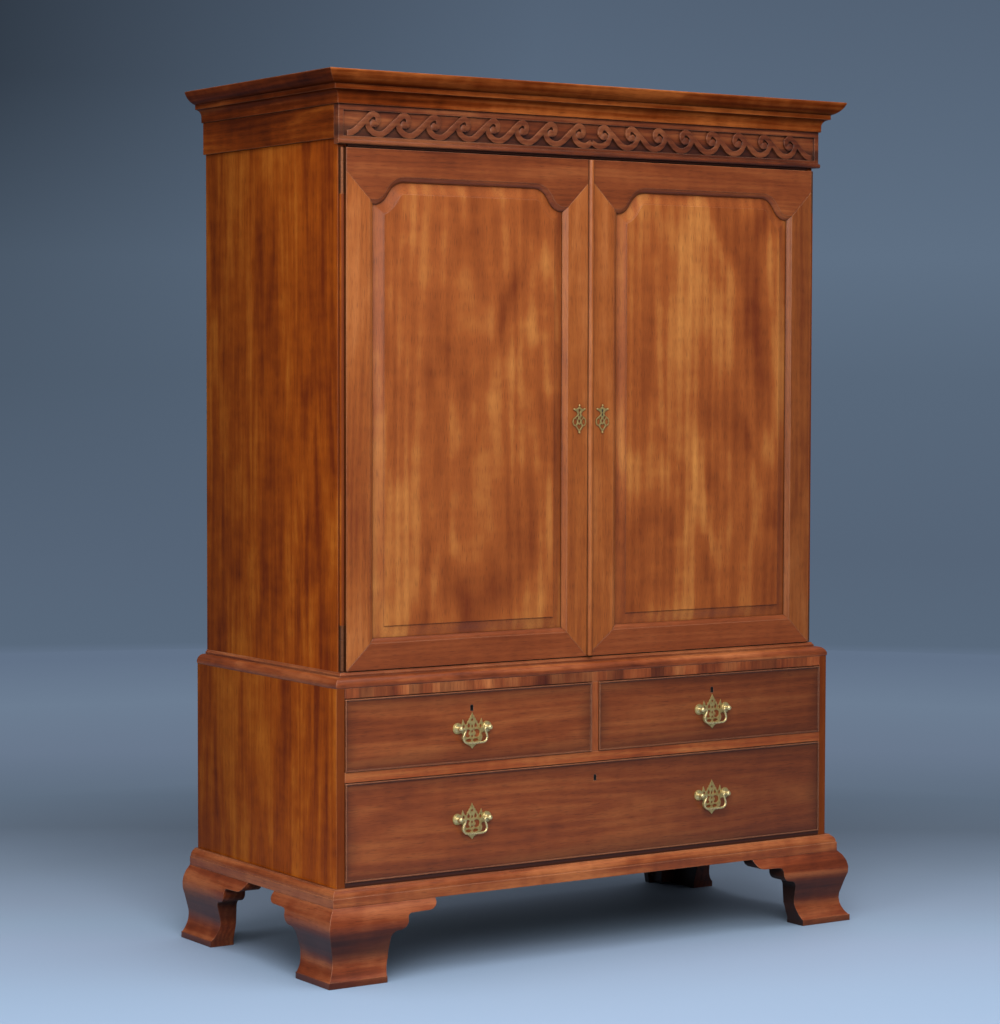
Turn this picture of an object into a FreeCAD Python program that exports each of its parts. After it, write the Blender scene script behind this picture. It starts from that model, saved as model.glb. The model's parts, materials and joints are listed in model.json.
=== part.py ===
import FreeCAD, Part

import Sketcher
import math
import os
import re
from types import SimpleNamespace

# A linen press in two stages: a cupboard with two panelled doors and sliding trays, standing
# on a chest of two short drawers and one long drawer, raised on ogee bracket feet.
# Millimetres. +Z is up, the front faces -Y, and X runs to the right seen from the front.
# The origin is at floor level, in the middle of the whole piece's plan.

doc = FreeCAD.newDocument("linen_press")
vec = FreeCAD.Vector
UP = vec(0, 0, 1)

# ---------------------------------------------------------------- driving dimensions
sizes = doc.addObject("Spreadsheet::Sheet", "sizes")
places = doc.addObject("Spreadsheet::Sheet", "places")
SHEET_OF = {}
ROWS = {"sizes": 0, "places": 0}


def bound(text, home=""):
    """Turn the plain names in a formula into references to the sheet cells that hold them."""
    def reference(match):
        word = match.group()
        sheet = SHEET_OF.get(word, home)
        return word if sheet == home else f"{sheet}.{word}"
    return re.sub(r"[a-z_]+", reference, text)


def cell(sheet, alias, content):
    """Write one named cell on the next row of a sheet."""
    ROWS[sheet.Name] += 1
    row = ROWS[sheet.Name]
    sheet.set(f"A{row}", alias)
    sheet.set(f"B{row}", content)
    sheet.setAlias(f"B{row}", alias)
    SHEET_OF[alias] = sheet.Name


def place(alias, formula):
    """A level or face worked out from the driving dimensions."""
    cell(places, alias, "=" + bound(formula, "places"))


SIZES = {
    # Chest: outer sizes, boards and the heights of its openings.
    "chest_out": 26,
    "chest_deep": 648,
    "chest_board": 21,
    "foot_high": 170,
    "base_moulding_high": 39,
    "floor_show": 10,
    "floor_thick": 22,
    "long_open": 219,
    "rail_high": 23,
    "rail_deep": 60,
    "short_open": 161,
    "top_rail_high": 23,
    "chest_top_thick": 22,
    "divider_wide": 19,
    "back_inset": 4,
    "back_thick": 10,
    "back_joint": 0.5,
    # Cupboard: outer width, how far it stands back, its boards and its door opening.
    "press_wide": 1324,
    "press_setback": 38,
    "press_board": 21,
    "press_floor_thick": 22,
    "sill_high": 10.5,
    "door_open": 1141.5,
    "press_top_thick": 22,
    "top_stop_deep": 24,
    "top_stop_high": 18,
    "top_lip_back": 7,
    "frieze_lift": 4.5,
    "frieze_high": 86,
    "frieze_thick": 20,
    "frieze_out": 7,
    "frieze_proud": 16,
    "side_frieze_lift": 12.5,
    "cornice_high": 70.5,
    "cornice_out": 48,
    "cornice_in": 20,
    "dust_board_thick": 8,
    # Frieze carving.
    "recess_end": 12,
    "recess_top": 13,
    "recess_low": 17.5,
    "recess_deep": 5,
    "frieze_bead": 5.2,
    "wave_end_room": 45,
    "wave_first": 35,
    "strap_wide": 10,
    "strap_high": 5.4,
    "strap_margin": 1,
    "strap_back": 17.5,
    "trough_bend": 30.5,
    "crest_bend": 11.3,
    "eye_bend": 6.6,
    "scroll_end": -1.4,
    "chord_turn": 21,
    # Doors.
    "door_proud": 15,
    "door_thick": 22,
    "door_rest": 1,
    "door_lap": 8.2,
    "door_gap": 1,
    "door_gap_top": 2.5,
    "door_gap_low": 1.5,
    "meeting_offset": 7.6,
    "hinge_stile": 60,
    "panel_from_middle": 65,
    "top_rail_deep": 60,
    "low_rail_deep": 58,
    "shoulder_flat": 12,
    "shoulder_low": 30,
    "shoulder_slope": 14,
    "shoulder_high": 52,
    "shoulder_turn": 58,
    "ovolo_wide": 11,
    "ovolo_deep": 8,
    "panel_set_back": 1.5,
    "tongue_gap": 0.2,
    "groove_deep": 6,
    "panel_thick": 8,
    "field_margin": 25.5,
    "field_deep": 0.8,
    "fielding_step": 2,
    "astragal_wide": 14,
    "astragal_proud": 6.5,
    "bead_thick": 10.4,
    "bead_stand": 0.3,
    # Hinges and door fittings.
    "hinge_long": 100,
    "hinge_leaf": 1.6,
    "hinge_web": 2.4,
    "leaf_front_margin": 2.5,
    "leaf_back_margin": 2,
    "knuckle_gap": 0.3,
    "hinge_pin": 2.2,
    "pin_gap": 0.05,
    "bolt_thick": 8,
    "bolt_long": 140,
    "bolt_throw": 12,
    "bolt_back": 8,
    "bolt_out": 32,
    "bolt_hole_gap": 0.5,
    "bolt_hole_deep": 15,
    "bolt_rest": 20,
    "bolt_floor_gap": 2,
    "bolt_knob_in": 92,
    "staple_near": 52,
    "staple_far": 122,
    "staple_high": 8,
    "staple_wall": 3,
    "lock_throw": 8,
    "lock_long": 54,
    "lock_high": 80,
    "lock_thick": 12,
    "lock_bolt_high": 20,
    "lock_bolt_long": 24,
    "lock_bolt_inset": 3,
    "lock_wall": 10,
    "lock_strike_gap": 2,
    "lock_level": 552,
    "keyhole_up": 7,
    "escutcheon_out": 32.4,
    # Drawers.
    "slide_gap": 0.3,
    "drawer_gap": 1,
    "drawer_gap_top": 1.5,
    "drawer_front_thick": 21,
    "drawer_side_thick": 9,
    "drawer_floor_thick": 7,
    "drawer_floor_lift": 8,
    "drawer_deep": 560,
    "drawer_side_drop": 5,
    "cockbead_thick": 3.2,
    "cockbead_proud": 3,
    "runner_wide": 40,
    "middle_runner_wide": 60,
    "guide_high": 22,
    # Drawer handles and keyholes.
    "post_spacing": 77,
    "handle_short_level": 77.5,
    "handle_long_level": 116,
    "post_ball": 6.6,
    "post_neck": 3.4,
    "post_foot": 6,
    "post_out": 15,
    "bail_thick": 4.4,
    "bail_drop": 33,
    "bail_end": 2,
    "bail_gap": 0.3,
    "plate_thick": 2,
    "lining_thick": 1.2,
    "lining_proud": 0.5,
    "drawer_lock_wide": 62,
    "drawer_lock_high": 44,
    "drawer_lock_drop": 30,
    "drawer_lock_thick": 12,
    "keyhole_level": 122,
    "long_keyhole_level": 181.5,
    # Trays.
    "tray_high": 140,
    "tray_spacing": 270,
    "tray_lift": 14,
    "tray_board": 10,
    "tray_side_gap": 1.5,
    "tray_back_gap": 6,
    "tray_front_room": 32,
    "tray_runner_high": 13.7,
    "tray_runner_wide": 11,
    "tray_front_thick": 14,
    "tray_front_high": 90,
    "tray_floor_thick": 8,
    # Feet.
    "foot_out": 44,
    "foot_long": 285,
    "foot_thick": 16,
    "foot_pad_high": 14,
    "foot_pad_long": 147,
    "foot_block": 42,
    "rear_bracket": 170,
    "rear_bracket_thick": 18,
    "rear_bracket_inset": 4,
    "block_lift": 6,
}
for alias, value in SIZES.items():
    cell(sizes, alias, str(value))

WAVES = 8

# Faces along the depth.
place("front", "foot_out - (chest_deep + foot_out) / 2")
place("back", "front + chest_deep")
place("press_front", "front + press_setback")
place("door_face", "press_front - door_proud")
place("door_back", "door_face + door_thick")
place("door_stop", "door_back + door_rest")
place("sill_face", "front + chest_out")
place("frieze_face", "press_front - frieze_proud")
place("frieze_back", "frieze_face + frieze_thick")
place("back_front", "back - back_inset - back_thick")
# Half widths.
place("press_half", "press_wide / 2")
place("press_inner", "press_half - press_board")
place("chest_half", "press_half + chest_out")
place("chest_inner", "chest_half - chest_board")
place("frieze_half", "press_half + frieze_out")
place("door_edge", "press_inner + door_lap")
place("panel_wide", "door_edge - hinge_stile - panel_from_middle")
place("wave_pitch", f"(frieze_half - wave_end_room) / {WAVES}")
# Levels.
place("chest_floor", "foot_high + base_moulding_high + floor_show")
place("long_top", "chest_floor + long_open")
place("short_floor", "long_top + rail_high")
place("short_top", "short_floor + short_open")
place("chest_under", "short_top + top_rail_high")
place("chest_top", "chest_under + chest_top_thick")
place("sill_top", "chest_top + sill_high")
place("press_floor", "chest_top + press_floor_thick")
place("door_low", "sill_top + door_gap_low")
place("top_under", "sill_top + door_open")
place("door_top", "top_under - door_gap_top")
place("top_over", "top_under + press_top_thick")
place("frieze_low", "top_under + frieze_lift")
place("frieze_top", "frieze_low + frieze_high")
place("whole_top", "frieze_top + cornice_high")
# Hinge axis: in line with the bead that stands on the cupboard side's front edge.
place("axis_x", "door_edge + door_gap / 3 + bead_thick / 2")
place("axis_y", "press_front - bead_stand - bead_thick / 2")
doc.recompute()
p = SimpleNamespace(**{name: float(getattr(doc, sheet).get(name))
                       for name, sheet in SHEET_OF.items()})

# ---------------------------------------------------------------- making and naming pieces
NODES = []


def node(label, piece):
    """Name a finished sub-part; its file takes the same name."""
    piece.Label = label
    NODES.append(piece)
    return piece


def box(x, y, z):
    """A straight board between two faces on each axis, given as formulas."""
    board = doc.addObject("Part::Box", "board")
    for size_name, (low, high) in (("Length", x), ("Width", y), ("Height", z)):
        board.setExpression(size_name, bound(f"({high}) - ({low})"))
    for axis, (low, high) in zip("xyz", (x, y, z)):
        board.setExpression(f"Placement.Base.{axis}", bound(low))
    return board


def rod(radius, x, y, z, along):
    """A round rod along one axis; that axis holds two places and the others one."""
    turned = {"x": FreeCAD.Rotation(vec(0, 1, 0), 90), "y": FreeCAD.Rotation(vec(1, 0, 0), -90),
              "z": FreeCAD.Rotation()}
    low, high = {"x": x, "y": y, "z": z}[along]
    spots = {"x": x, "y": y, "z": z}
    spots[along] = low
    bar = doc.addObject("Part::Cylinder", "rod")
    bar.setExpression("Radius", bound(radius))
    bar.setExpression("Height", bound(f"({high}) - ({low})"))
    bar.Placement = FreeCAD.Placement(vec(), turned[along])
    for axis in "xyz":
        bar.setExpression(f"Placement.Base.{axis}", bound(spots[axis]))
    return bar


def fuse(*pieces):
    """One solid out of pieces that run into each other."""
    whole = doc.addObject("Part::MultiFuse", "joined")
    whole.Shapes = list(pieces)
    whole.Refine = True
    return whole


def cut(base, *tools):
    """A piece with rebates, recesses or holes worked in it."""
    worked = doc.addObject("Part::Cut", "worked")
    worked.Base = base
    worked.Tool = tools[0] if len(tools) == 1 else group(*tools)
    worked.Refine = True
    return worked


def group(*pieces):
    """Like or fixed pieces, each still a solid of its own."""
    many = doc.addObject("Part::Compound", "group")
    many.Links = list(pieces)
    return many


def made(shape):
    """A piece whose shape comes from Part's own functions."""
    piece = doc.addObject("Part::Feature", "made")
    piece.Shape = shape
    return piece


def sided(side, low, high):
    """The same stretch of X on the right (1) or mirrored to the left (-1)."""
    return (low, high) if side > 0 else (f"-({high})", f"-({low})")


def outline(path, to_space):
    """A closed wire through 2-D points, where ('arc', mid, end) is a bend."""
    edges = []
    here = to_space(*path[0])
    for step in list(path[1:]) + [path[0]]:
        if step[0] == "arc":
            there = to_space(*step[2])
            edges.append(Part.Arc(here, to_space(*step[1]), there).toShape())
        else:
            there = to_space(*step)
            if there.distanceToPoint(here) > 0.001:
                edges.append(Part.makeLine(here, there))
        here = there
    return Part.Wire(edges)


def chorded(path, chords=0):
    """A path whose bends are drawn as short straight facets, by their turn or by a count."""
    flat = [path[0]]
    for step in path[1:]:
        if step[0] != "arc":
            flat.append(step)
            continue
        start = flat[-1]
        bend = Part.Arc(vec(*start), vec(*step[1]), vec(*step[2]))
        turn = abs(bend.LastParameter - bend.FirstParameter)
        count = chords or max(2, round(turn / math.radians(p.chord_turn)))
        points = [bend.value(bend.FirstParameter + turn * n / count) for n in range(1, count)]
        if points[0].distanceToPoint(vec(*start)) > points[-1].distanceToPoint(vec(*start)):
            points.reverse()
        flat += [(point.x, point.y) for point in points] + [step[2]]
    return flat


def mirror2(point):
    """A 2-D point mirrored left to right."""
    return (-point[0], point[1])


def both_halves(half_path):
    """A symmetrical outline: half a path, then its mirror image run back to the start."""
    ends = [step[-1] if isinstance(step[0], str) else step for step in half_path]
    back = [mirror2(ends[-1])]
    for number in range(len(half_path) - 1, 0, -1):
        step = half_path[number]
        before = mirror2(ends[number - 1])
        back.append((step[0], mirror2(step[1]), before) if step[0] == "arc" else before)
    return half_path + back


def prism(path, to_space, travel):
    """The solid that an outline sweeps along a straight travel."""
    return Part.Face(outline(path, to_space)).extrude(travel)


def plan(x, y):
    """A point of a plan, taken below the floor so that a prism up from it covers everything."""
    return vec(x, y, -1)


def new_body(name, **where):
    """A body whose own origin may be set by formulas for x, y and z."""
    body = doc.addObject("PartDesign::Body", name)
    for axis, formula in where.items():
        body.setExpression(f"Placement.Base.{axis}", bound(str(formula)))
    return body


def sketch(body, role, paths, out=None, closed=True):
    """A sketch on one of a body's own planes, with its curves joined end to end."""
    drawing = body.newObject("Sketcher::SketchObject", "outline")
    plane = next(item for item in body.Origin.OriginFeatures if item.Role == role)
    drawing.AttachmentSupport = [(plane, "")]
    drawing.MapMode = "FlatFace"
    if out:
        drawing.setExpression("AttachmentOffset.Base.z", bound(out))
    for path in paths:
        joints = []
        here = vec(*path[0])
        for step in list(path[1:]) + ([path[0]] if closed else []):
            there = vec(*(step[-1] if isinstance(step[0], str) else step))
            if step[0] == "arc":
                curve = Part.Arc(here, vec(*step[1]), there)
            elif there.distanceToPoint(here) < 0.001:
                continue
            else:
                curve = Part.LineSegment(here, there)
            number = drawing.addGeometry(curve, False)
            ahead = drawing.getPoint(number, 2).distanceToPoint(there) < 0.001
            joints.append((number, 1 if ahead else 2, 2 if ahead else 1))
            here = there
        follow = joints[1:] + (joints[:1] if closed else [])
        for (number, _, last), (next_number, first, _) in zip(joints, follow):
            drawing.addConstraint(Sketcher.Constraint("Coincident", number, last,
                                                      next_number, first))
    return drawing


def ring(x, y, radius):
    """A full circle as a path of two arcs."""
    return [(x + radius, y), ("arc", (x, y + radius), (x - radius, y)),
            ("arc", (x, y - radius), (x + radius, y))]


def pad(body, drawing, thick):
    """Raise a sketch by a thickness given as a formula."""
    raised = body.newObject("PartDesign::Pad", "pad")
    raised.Profile = drawing
    raised.setExpression("Length", bound(thick))
    return raised


def pipe(body, profile, route, corner):
    """Sweep a profile sketch along a route sketch."""
    swept = body.newObject("PartDesign::AdditivePipe", "sweep")
    swept.Profile = profile
    swept.Spine = route
    swept.Transition = corner
    return swept


def surround(label, profile, half, face):
    """Three runs of a moulding round both sides and the front, mitred at the front corners.

    The profile is drawn as (outward, level) from the case's side at half and front at face.
    """
    body = new_body("moulding")
    route = sketch(body, "XY_Plane", [[(-half, p.back), (-half, face), (half, face),
                                       (half, p.back)]], closed=False)
    drawn = [(step[0], *[(-half - out, level) for out, level in step[1:]]) if step[0] == "arc"
             else (-half - step[0], step[1]) for step in profile]
    section = sketch(body, "XZ_Plane", [drawn], out="-back")
    pipe(body, section, route, "Right corner")
    far = half + 2 * p.cornice_out
    front = [(-far, face - far + half), (far, face - far + half), (0, face + half)]
    zones = [front] + [[(side * far, face - far + half), (0, face + half), (0, p.back + 1),
                        (side * far, p.back + 1)] for side in (-1, 1)]
    runs = []
    for zone in zones:
        run = doc.addObject("Part::Common", "run")
        run.Base = body
        run.Tool = made(prism(zone, plan, UP * (p.whole_top + 2)))
        runs.append(run)
    return node(label, group(*runs))


# ---------------------------------------------------------------- cornice
# A top fillet over an ovolo, a fascia and a cove, with an undercut above the frieze.
c = p.frieze_top
cornice = [(-p.cornice_in, c), (4.6, c), (5, c + 13), ("arc", (9.7, c + 25.3), (21, c + 30)),
           (21, c + 41), (25.4, c + 42.5), ("arc", (38.6, c + 52), (p.cornice_out - 0.8, c + 65.5)),
           (p.cornice_out, c + 66.5), (p.cornice_out, p.whole_top), (-p.cornice_in, p.whole_top)]
surround("cornice_moulding", cornice, p.frieze_half, p.frieze_face)
node("cornice_dust_board", box(("-(frieze_half - cornice_in)", "frieze_half - cornice_in"),
                               ("frieze_face + cornice_in", "back"),
                               ("frieze_top", "frieze_top + dust_board_thick")))

# ---------------------------------------------------------------- frieze
frieze_board = cut(
    box(("-frieze_half", "frieze_half"), ("frieze_face", "frieze_back"),
        ("frieze_low", "frieze_top")),
    box(("recess_end - frieze_half", "frieze_half - recess_end"),
        ("frieze_face - 1", "frieze_face + recess_deep"),
        ("frieze_low + recess_low", "frieze_top - recess_top")))
frieze_bead = rod("frieze_bead", ("-frieze_half - 3", "frieze_half + 3"),
                  "frieze_face + frieze_bead * 0.2", "frieze_low + frieze_bead", "x")
node("frieze_front", fuse(frieze_board, frieze_bead))
node("frieze_sides", group(*[box(sided(side, "press_half", "frieze_half"),
                                 ("frieze_back", "back"),
                                 ("frieze_low + side_frieze_lift", "frieze_top"))
                             for side in (-1, 1)]))


# The running scroll: each wave is a strap that leaves the strap before it, dips through a
# round trough, rises along a straight stem, and turns over its crest into a round eye.
floor_level = p.frieze_low + p.recess_low
recess_high = p.frieze_high - p.recess_low - p.recess_top
half_strap = p.strap_wide / 2
TROUGH = SimpleNamespace(radius=p.trough_bend, x=p.trough_bend - p.strap_back - p.wave_pitch,
                         z=p.trough_bend + half_strap + p.strap_margin)
CREST = SimpleNamespace(radius=p.crest_bend, x=0,
                        z=recess_high - p.strap_margin - half_strap - p.crest_bend)
EYE = SimpleNamespace(radius=p.eye_bend, x=p.crest_bend * math.cos(p.scroll_end) - p.eye_bend / 2,
                      z=CREST.z + p.crest_bend * math.sin(p.scroll_end) + p.eye_bend / 3)
lean = math.asin((TROUGH.radius + CREST.radius)
                 / math.hypot(TROUGH.x - CREST.x, TROUGH.z - CREST.z))
rise_angle = lean + math.atan2(CREST.z - TROUGH.z, CREST.x - TROUGH.x)


def on_circle(circle, angle, grow=0.0):
    """A point of a scroll circle, its radius grown or shrunk."""
    reach = circle.radius + grow
    return (circle.x + reach * math.cos(angle), circle.z + reach * math.sin(angle))


def strap(trough_start, whole=True):
    """The outline of one wave's strap, half its width each side of its middle line."""
    leave = rise_angle - math.pi / 2
    arrive = rise_angle + math.pi / 2
    mid_trough = (trough_start + leave + 2 * math.pi) / 2
    path = [on_circle(TROUGH, trough_start, half_strap),
            ("arc", on_circle(TROUGH, mid_trough, half_strap),
             on_circle(TROUGH, leave, half_strap))]
    if whole:
        mid_crest = (arrive + p.scroll_end) / 2
        path += [on_circle(CREST, arrive, -half_strap),
                 ("arc", on_circle(CREST, mid_crest, -half_strap),
                  on_circle(CREST, p.scroll_end, -half_strap)),
                 on_circle(CREST, p.scroll_end, half_strap),
                 ("arc", on_circle(CREST, mid_crest, half_strap),
                  on_circle(CREST, arrive, half_strap))]
    return path + [on_circle(TROUGH, leave, -half_strap),
                   ("arc", on_circle(TROUGH, mid_trough, -half_strap),
                    on_circle(TROUGH, trough_start, -half_strap))]


def carved(path, shift):
    """An ornament standing on the recess floor, moved along the frieze."""
    return prism(chorded(path), lambda x, z: vec(shift + x, p.frieze_face + p.recess_deep, floor_level + z),
                 vec(0, -p.strap_high, 0))


scroll = []
for wave in range(WAVES):
    crest_x = -p.wave_first - wave * p.wave_pitch
    last = wave == WAVES - 1
    scroll.append(carved(strap(math.radians(270 if last else 178)), crest_x))
    scroll.append(carved(ring(EYE.x, EYE.z, EYE.radius), crest_x))
scroll.append(carved(strap(math.radians(178), whole=False), p.wave_pitch - p.wave_first))
left_of_centre = Part.makeBox(p.frieze_half, 2 * p.frieze_thick, p.frieze_high,
                              vec(-p.frieze_half, p.frieze_face - p.frieze_thick, p.frieze_low))
left_scroll = scroll[0].multiFuse(scroll[1:]).common(left_of_centre)
right_scroll = left_scroll.mirror(vec(), vec(1, 0, 0))
node("frieze_scroll", made(left_scroll.fuse(right_scroll).removeSplitter()))

# ---------------------------------------------------------------- cupboard case
for side, name in ((-1, "left"), (1, "right")):
    board = box(sided(side, "press_inner", "press_half"), ("press_front", "back"),
                ("chest_top", "frieze_top"))
    door_rebate = box(sided(side, "press_inner - 1", "door_edge + door_gap / 3"),
                      ("press_front - 1", "door_stop"), ("sill_top", "top_under"))
    frieze_notch = box(sided(side, "press_inner - 1", "press_half + 1"),
                       ("press_front - 1", "frieze_back"), ("frieze_low", "frieze_top + 1"))
    bead = rod("bead_thick / 2", f"{side} * axis_x", "axis_y",
               ("door_low + hinge_long", "door_top - hinge_long"), "z")
    bead_neck = box(sided(side, "axis_x - bead_thick * 0.3", "axis_x + bead_thick * 0.3"),
                    ("axis_y", "press_front"),
                    ("door_low + hinge_long", "door_top - hinge_long"))
    seats = [box(sided(side, "door_edge + door_gap / 3", "axis_x + bead_thick / 2"),
                 ("press_front - 1", "press_front + hinge_leaf"), level)
             for level in (("door_low", "door_low + hinge_long"),
                           ("door_top - hinge_long", "door_top"))]
    node(f"press_side_{name}",
         fuse(cut(board, door_rebate, frieze_notch, *seats), bead, bead_neck))

# The top board carries the frieze on a thin lip, and a rail below it stops the doors.
top_main = box(("-press_inner", "press_inner"), ("frieze_back", "back_front"),
               ("top_under", "top_over"))
top_lip = box(("-press_inner", "press_inner"), ("door_face + top_lip_back", "frieze_back"),
              ("top_under", "frieze_low"))
top_stop = box(("-press_inner", "press_inner"), ("door_stop", "door_stop + top_stop_deep"),
               ("top_under - top_stop_high", "top_under"))
bolt_place = ("-(meeting_offset + bolt_out)", "door_back + bolt_back")
top_hole = rod("bolt_thick / 2 + bolt_hole_gap", *bolt_place,
               ("top_under - top_stop_high - 1", "top_under"), "z")
node("press_top_board", cut(fuse(top_main, top_lip, top_stop), top_hole))
floor_main = box(("-press_inner", "press_inner"), ("door_stop", "back_front"),
                 ("chest_top", "press_floor"))
floor_sill = box(("-press_inner", "press_inner"), ("sill_face", "door_stop"),
                 ("chest_top", "sill_top"))
floor_lip = box(("-press_half", "press_half"), ("sill_face", "press_front"),
                ("chest_top", "sill_top"))
floor_hole = rod("bolt_thick / 2 + bolt_hole_gap", *bolt_place,
                 ("press_floor - bolt_hole_deep", "press_floor + 1"), "z")
node("press_bottom_board", cut(fuse(floor_main, floor_sill, floor_lip), floor_hole))


def back_boards(inner, low, high, count):
    """Upright back boards side by side between the case's sides."""
    pitch = f"(2 * {inner} + back_joint) / {count}"
    return group(*[box((f"-{inner} + {n} * {pitch}", f"-{inner} + {n + 1} * {pitch} - back_joint"),
                       ("back_front", "back - back_inset"), (low, high)) for n in range(count)])


node("press_back_boards", back_boards("press_inner", "chest_top", "frieze_top", 5))
TRAYS = 4
node("tray_runners", group(*[
    box(sided(side, "press_inner - tray_runner_wide", "press_inner"),
        ("door_stop + tray_front_room", "back_front"),
        (f"press_floor + {n} * tray_spacing", f"press_floor + {n} * tray_spacing + tray_runner_high"))
    for n in range(TRAYS) for side in (-1, 1)]))

# ---------------------------------------------------------------- door hinges
# Each butt hinge has three knuckles in line with the bead: two on the case, which hold the
# pin, and one on the door, which turns on it.
HINGE_LEVELS = ("door_low", "door_top - hinge_long")
KNUCKLE_JOINTS = (0.32, 0.68)


def knuckle(side, start, low, high):
    """One knuckle of a hinge between two shares of the hinge's length."""
    level = (f"{start} + {low} * hinge_long", f"{start} + {high} * hinge_long - knuckle_gap")
    return rod("bead_thick / 2", f"{side} * axis_x", "axis_y", level, "z"), level


def case_leaf(side, start):
    """The case half of a hinge: a leaf let into the side's front edge, two knuckles, the pin."""
    leaf = box(sided(side, "door_edge + door_gap / 3", "axis_x + bead_thick / 2"),
               ("press_front", "press_front + hinge_leaf"), (start, f"{start} + hinge_long"))
    parts = [leaf]
    for low, high in ((0, KNUCKLE_JOINTS[0]), (KNUCKLE_JOINTS[1], 1)):
        barrel, level = knuckle(side, start, low, high)
        web = box(sided(side, "axis_x - hinge_web / 2", "axis_x + hinge_web / 2"),
                  ("axis_y", "press_front + hinge_leaf"), level)
        parts += [barrel, web]
    parts.append(rod("hinge_pin", f"{side} * axis_x", "axis_y",
                     (start, f"{start} + hinge_long - knuckle_gap"), "z"))
    return fuse(*parts)


def door_leaf(side, start):
    """The door half of a hinge: a leaf let into the door's edge and the middle knuckle."""
    leaf = box(sided(side, "door_edge - hinge_leaf", "door_edge"),
               ("door_face + leaf_front_margin", "door_back - leaf_back_margin"),
               (start, f"{start} + hinge_long"))
    barrel, level = knuckle(side, start, *KNUCKLE_JOINTS)
    web = box(sided(side, "door_edge - hinge_leaf", "axis_x"),
              ("axis_y - hinge_web / 2", "axis_y + hinge_web / 2"), level)
    bore = rod("hinge_pin + pin_gap", f"{side} * axis_x", "axis_y", level, "z")
    return cut(fuse(leaf, barrel, web), bore)


node("carcase_hinge_leaves", group(*[case_leaf(side, start) for side in (-1, 1)
                                     for start in HINGE_LEVELS]))


# ---------------------------------------------------------------- doors
def opening(inset):
    """A door's panel opening drawn inset from the frame's face edge, as 2-D points.

    Its lower corners are square. Each upper corner is a short flat shoulder and an ogee, whose
    lower bend turns about a centre in the frame and whose upper bend about one in the panel.
    """
    half = p.panel_wide / 2
    low = p.door_low + p.low_rail_deep + inset
    top = p.door_top - p.top_rail_deep
    turn = math.radians(p.shoulder_turn)
    rise = ((p.shoulder_low + p.shoulder_high) * (1 - math.cos(turn))
            + p.shoulder_slope * math.sin(turn))
    cusp = top - rise
    low_centre = (p.shoulder_flat - half, cusp + p.shoulder_low)
    low_radius = p.shoulder_low + inset
    run = (p.shoulder_low + p.shoulder_high) * math.sin(turn) + p.shoulder_slope * math.cos(turn)
    high_centre = (low_centre[0] + run, top - p.shoulder_high)
    high_radius = p.shoulder_high - inset
    spare = max(inset - p.shoulder_flat, 0)
    start = math.asin(spare / low_radius)

    def low_bend(angle):
        return (low_centre[0] + low_radius * math.sin(angle),
                low_centre[1] - low_radius * math.cos(angle))

    def high_bend(angle):
        return (high_centre[0] - high_radius * math.sin(angle),
                high_centre[1] + high_radius * math.cos(angle))

    left = [(inset - half, low)]
    if spare == 0:
        left.append((inset - half, cusp - inset))
    left += [low_bend(start), ("arc", low_bend((start + turn) / 2), low_bend(turn)),
             high_bend(turn), ("arc", high_bend(turn / 2), high_bend(0))]
    return both_halves(left)


SHOULDER_CHORDS = 4


def opening_wire(inset, depth, centre):
    """The panel opening's outline at a depth behind the door's face."""
    path = chorded(opening(inset), SHOULDER_CHORDS)
    return outline(path, lambda x, z: vec(centre + x, p.door_face + depth, z))


def between(inset, depth, next_inset, next_depth, centre):
    """The solid between two of the opening's outlines."""
    return Part.makeLoft([opening_wire(inset, depth, centre),
                          opening_wire(next_inset, next_depth, centre)], True, True)


def cusp_level():
    """The level of the flat shoulders at the panel's upper corners."""
    turn = math.radians(p.shoulder_turn)
    return (p.door_top - p.top_rail_deep - p.shoulder_slope * math.sin(turn)
            - (p.shoulder_low + p.shoulder_high) * (1 - math.cos(turn)))


def lock_block(left, long, high, inset=0.0):
    """A block in the thickness of a meeting stile, from its left end and centred on the lock."""
    return Part.makeBox(long, p.lock_thick - 2 * inset, high,
                        vec(left, p.door_back - p.lock_thick + inset,
                            p.door_low + p.lock_level - high / 2))


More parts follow.
